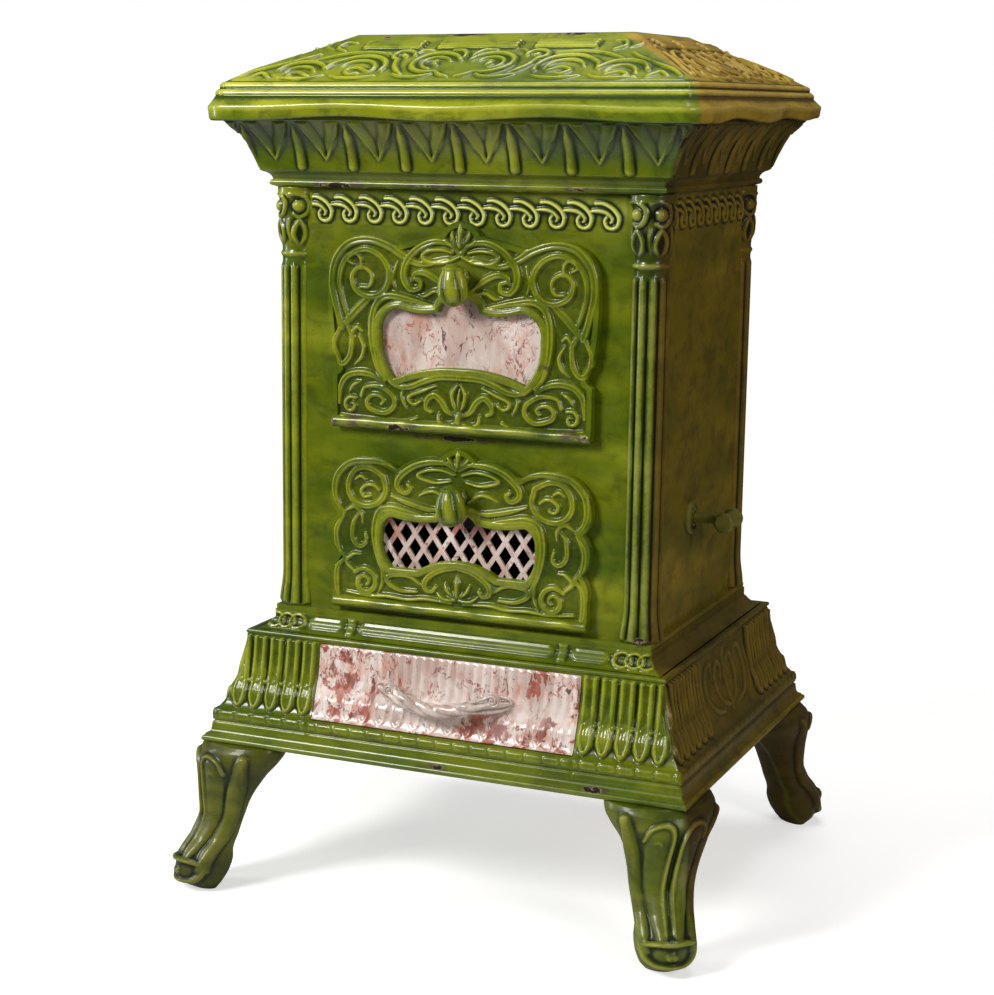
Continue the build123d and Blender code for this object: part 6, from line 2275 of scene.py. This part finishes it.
class Studio:
    """White room, lights and camera."""

    def build(self) -> None:
        """Makes floor, world, lights and camera."""
        self._floor()
        self._world()
        for box in SOFTBOXES:
            box.build()
        Camera().build()
        view = bpy.context.scene.view_settings
        view.view_transform = "Standard"
        view.look = "None"

    @staticmethod
    def _floor() -> None:
        """White floor that shows the stove's shadow and lies dark and unseen far away."""
        mesh = bpy.data.meshes.new("floor")
        bm = bmesh.new()
        bmesh.ops.create_grid(bm, x_segments=1, y_segments=1, size=12.0)
        bm.to_mesh(mesh)
        bm.free()
        floor = link_object("floor", mesh)
        floor.location.z = -0.0005
        material, tree, shader, place = start_material("floor_paper")
        away = tree.add("VectorMath", {0: place}, operation="LENGTH").outputs["Value"]
        far = tree.band(away, 0.45, 1.5)
        tint = tree.mix(far, (0.72, 0.72, 0.72, 1), (0.05, 0.05, 0.05, 1))
        glow = tree.mix(far, (0.55, 0.55, 0.55, 1), (1, 1, 1, 1))
        seen = tree.add("LightPath").outputs["Is Camera Ray"]
        tree.feed(shader, {"Base Color": tint, "Roughness": 1.0, "Specular IOR Level": 0.0,
                           "Emission Color": tree.mix(seen, (0, 0, 0, 1), glow),
                           "Emission Strength": 1.0})
        mesh.materials.append(material)

    @staticmethod
    def _world() -> None:
        """White to the camera, dim and even to everything else."""
        world = bpy.data.worlds.new("room")
        bpy.context.scene.world = world
        world.use_nodes = True
        world.node_tree.nodes.clear()
        tree = Tree(world.node_tree)
        seen = tree.add("LightPath").outputs["Is Camera Ray"]
        dim = tree.add("Background", {"Color": (1, 1, 1, 1), "Strength": 0.10})
        white = tree.add("Background", {"Color": (1, 1, 1, 1), "Strength": 1.0})
        mixed = tree.add("MixShader", {0: seen, 1: dim.outputs[0], 2: white.outputs[0]})
        tree.add("OutputWorld", {"Surface": mixed.outputs[0]})


# -------------------- the whole stove
MARBLED_NODES = ("upper_door_insert", "lower_door_lattice", "ash_drawer_front")
IRON_NODES = ("flue_collar", "flue_flange", "grate_frame", "rocking_grate", "hot_plate",
              "loading_plug", "drawer_runners", "lid_hinge_leaves")
BRICK_NODES = ("firebrick_left", "firebrick_right", "firebrick_front", "firebrick_rear")


def paint(frame: dict, looks: dict[str, Material]) -> None:
    """Gives every CAD node its finish.

    Args:
        frame: the loaded frame.
        looks: materials by name.
    """
    slots = {row["node"]: row["material_slot"] for row in frame["record"]["subparts"]}
    for name, node in frame["nodes"].items():
        if name in MARBLED_NODES:
            look = looks["panel" if name == "upper_door_insert" else "marble"]
        elif name in IRON_NODES:
            look = looks["iron"]
        elif name in BRICK_NODES:
            look = looks["brick"]
        elif name.startswith("shaker_") and name != "shaker_shaft":
            look = looks["knob"]
        elif slots[name] == "dark_steel":
            look = looks["steel"]
        elif name == "lid":
            look = looks["lid"]
        elif name == "cornice" or name.startswith("plinth_"):
            look = looks["trim"]
        else:
            look = looks["green"]
        node.data.materials.clear()
        node.data.materials.append(look)


def main() -> None:
    """Builds the stove's looks and the studio."""
    logging.basicConfig(level=logging.INFO, format="%(name)s: %(message)s")
    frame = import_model()
    for make in (make_glaze_group, make_side_shade_group, make_wear_group, make_chip_group,
                 make_marble_group, make_peel_group):
        make()
    looks = {
        "green": MajolicaGlaze("majolica").make(),
        "lid": MajolicaGlaze("majolica_lid", PALE_GREEN, LID_SIDE_SHADE).make(),
        "wave": MajolicaGlaze("majolica_wave", WAVE_GREEN).make(),
        "leg": MajolicaGlaze("majolica_leg", LEG_GREEN, LEG_SIDE_SHADE, roughness=0.38, coat=0.2).make(),
        "leg_shade": MajolicaGlaze("majolica_leg_shade", LEG_SHADE, LEG_SIDE_SHADE, roughness=0.38,
                                   coat=0.2).make(),
        "trim": MajolicaGlaze("majolica_trim", GREEN, DARKER_SIDE_SHADE).make(),
        # darker copy for the columns on the right: painted shade
        "deep": MajolicaGlaze("majolica_deep", RIGHT_COLUMN_SHADE, DARKER_SIDE_SHADE).make(),
        "marble": MarbledEnamel("marbled", 0.95).make(),
        "panel": MarbledEnamel("marbled_panel", 0.9, 0.0, 0.16).make(),
        "pale": MarbledEnamel("marbled_pale", 0.45, 0.35).make(),
        "iron": BareIron("bare_iron").make(),
        "knob": MajolicaGlaze("majolica_knob", KNOB_GREEN, KNOB_GREEN).make(),
        "steel": BareIron("dark_steel", srgb(60, 57, 54), srgb(92, 88, 84), 0.15, 0.8).make(),
        "brick": FireClay("fireclay").make(),
    }
    paint(frame, looks)
    report = Report()
    for size, vines in ((UPPER_DOOR, UPPER_ORNAMENT), (LOWER_DOOR, LOWER_ORNAMENT)):
        Door(size, vines).build(report, looks["green"])
    Columns().build(report, looks["green"], looks["deep"])
    Legs().build(report, looks["leg"], looks["leg_shade"])
    body = Body(frame)
    body.waves(report, looks["wave"])
    body.cornice(report, looks["trim"])
    Lid(body).build(report, looks["lid"])
    Plinth(frame).build(report, looks["trim"], looks["marble"])
    fittings = Fittings()
    for door, z in PULL_HEIGHTS.items():
        fittings.pull(report, door, z, looks["green"])
    fittings.handle(report, looks["pale"])
    Studio().build()
    log.info("%d pieces, %d triangles", report.pieces, report.triangles)


if __name__ == "__main__":
    main()
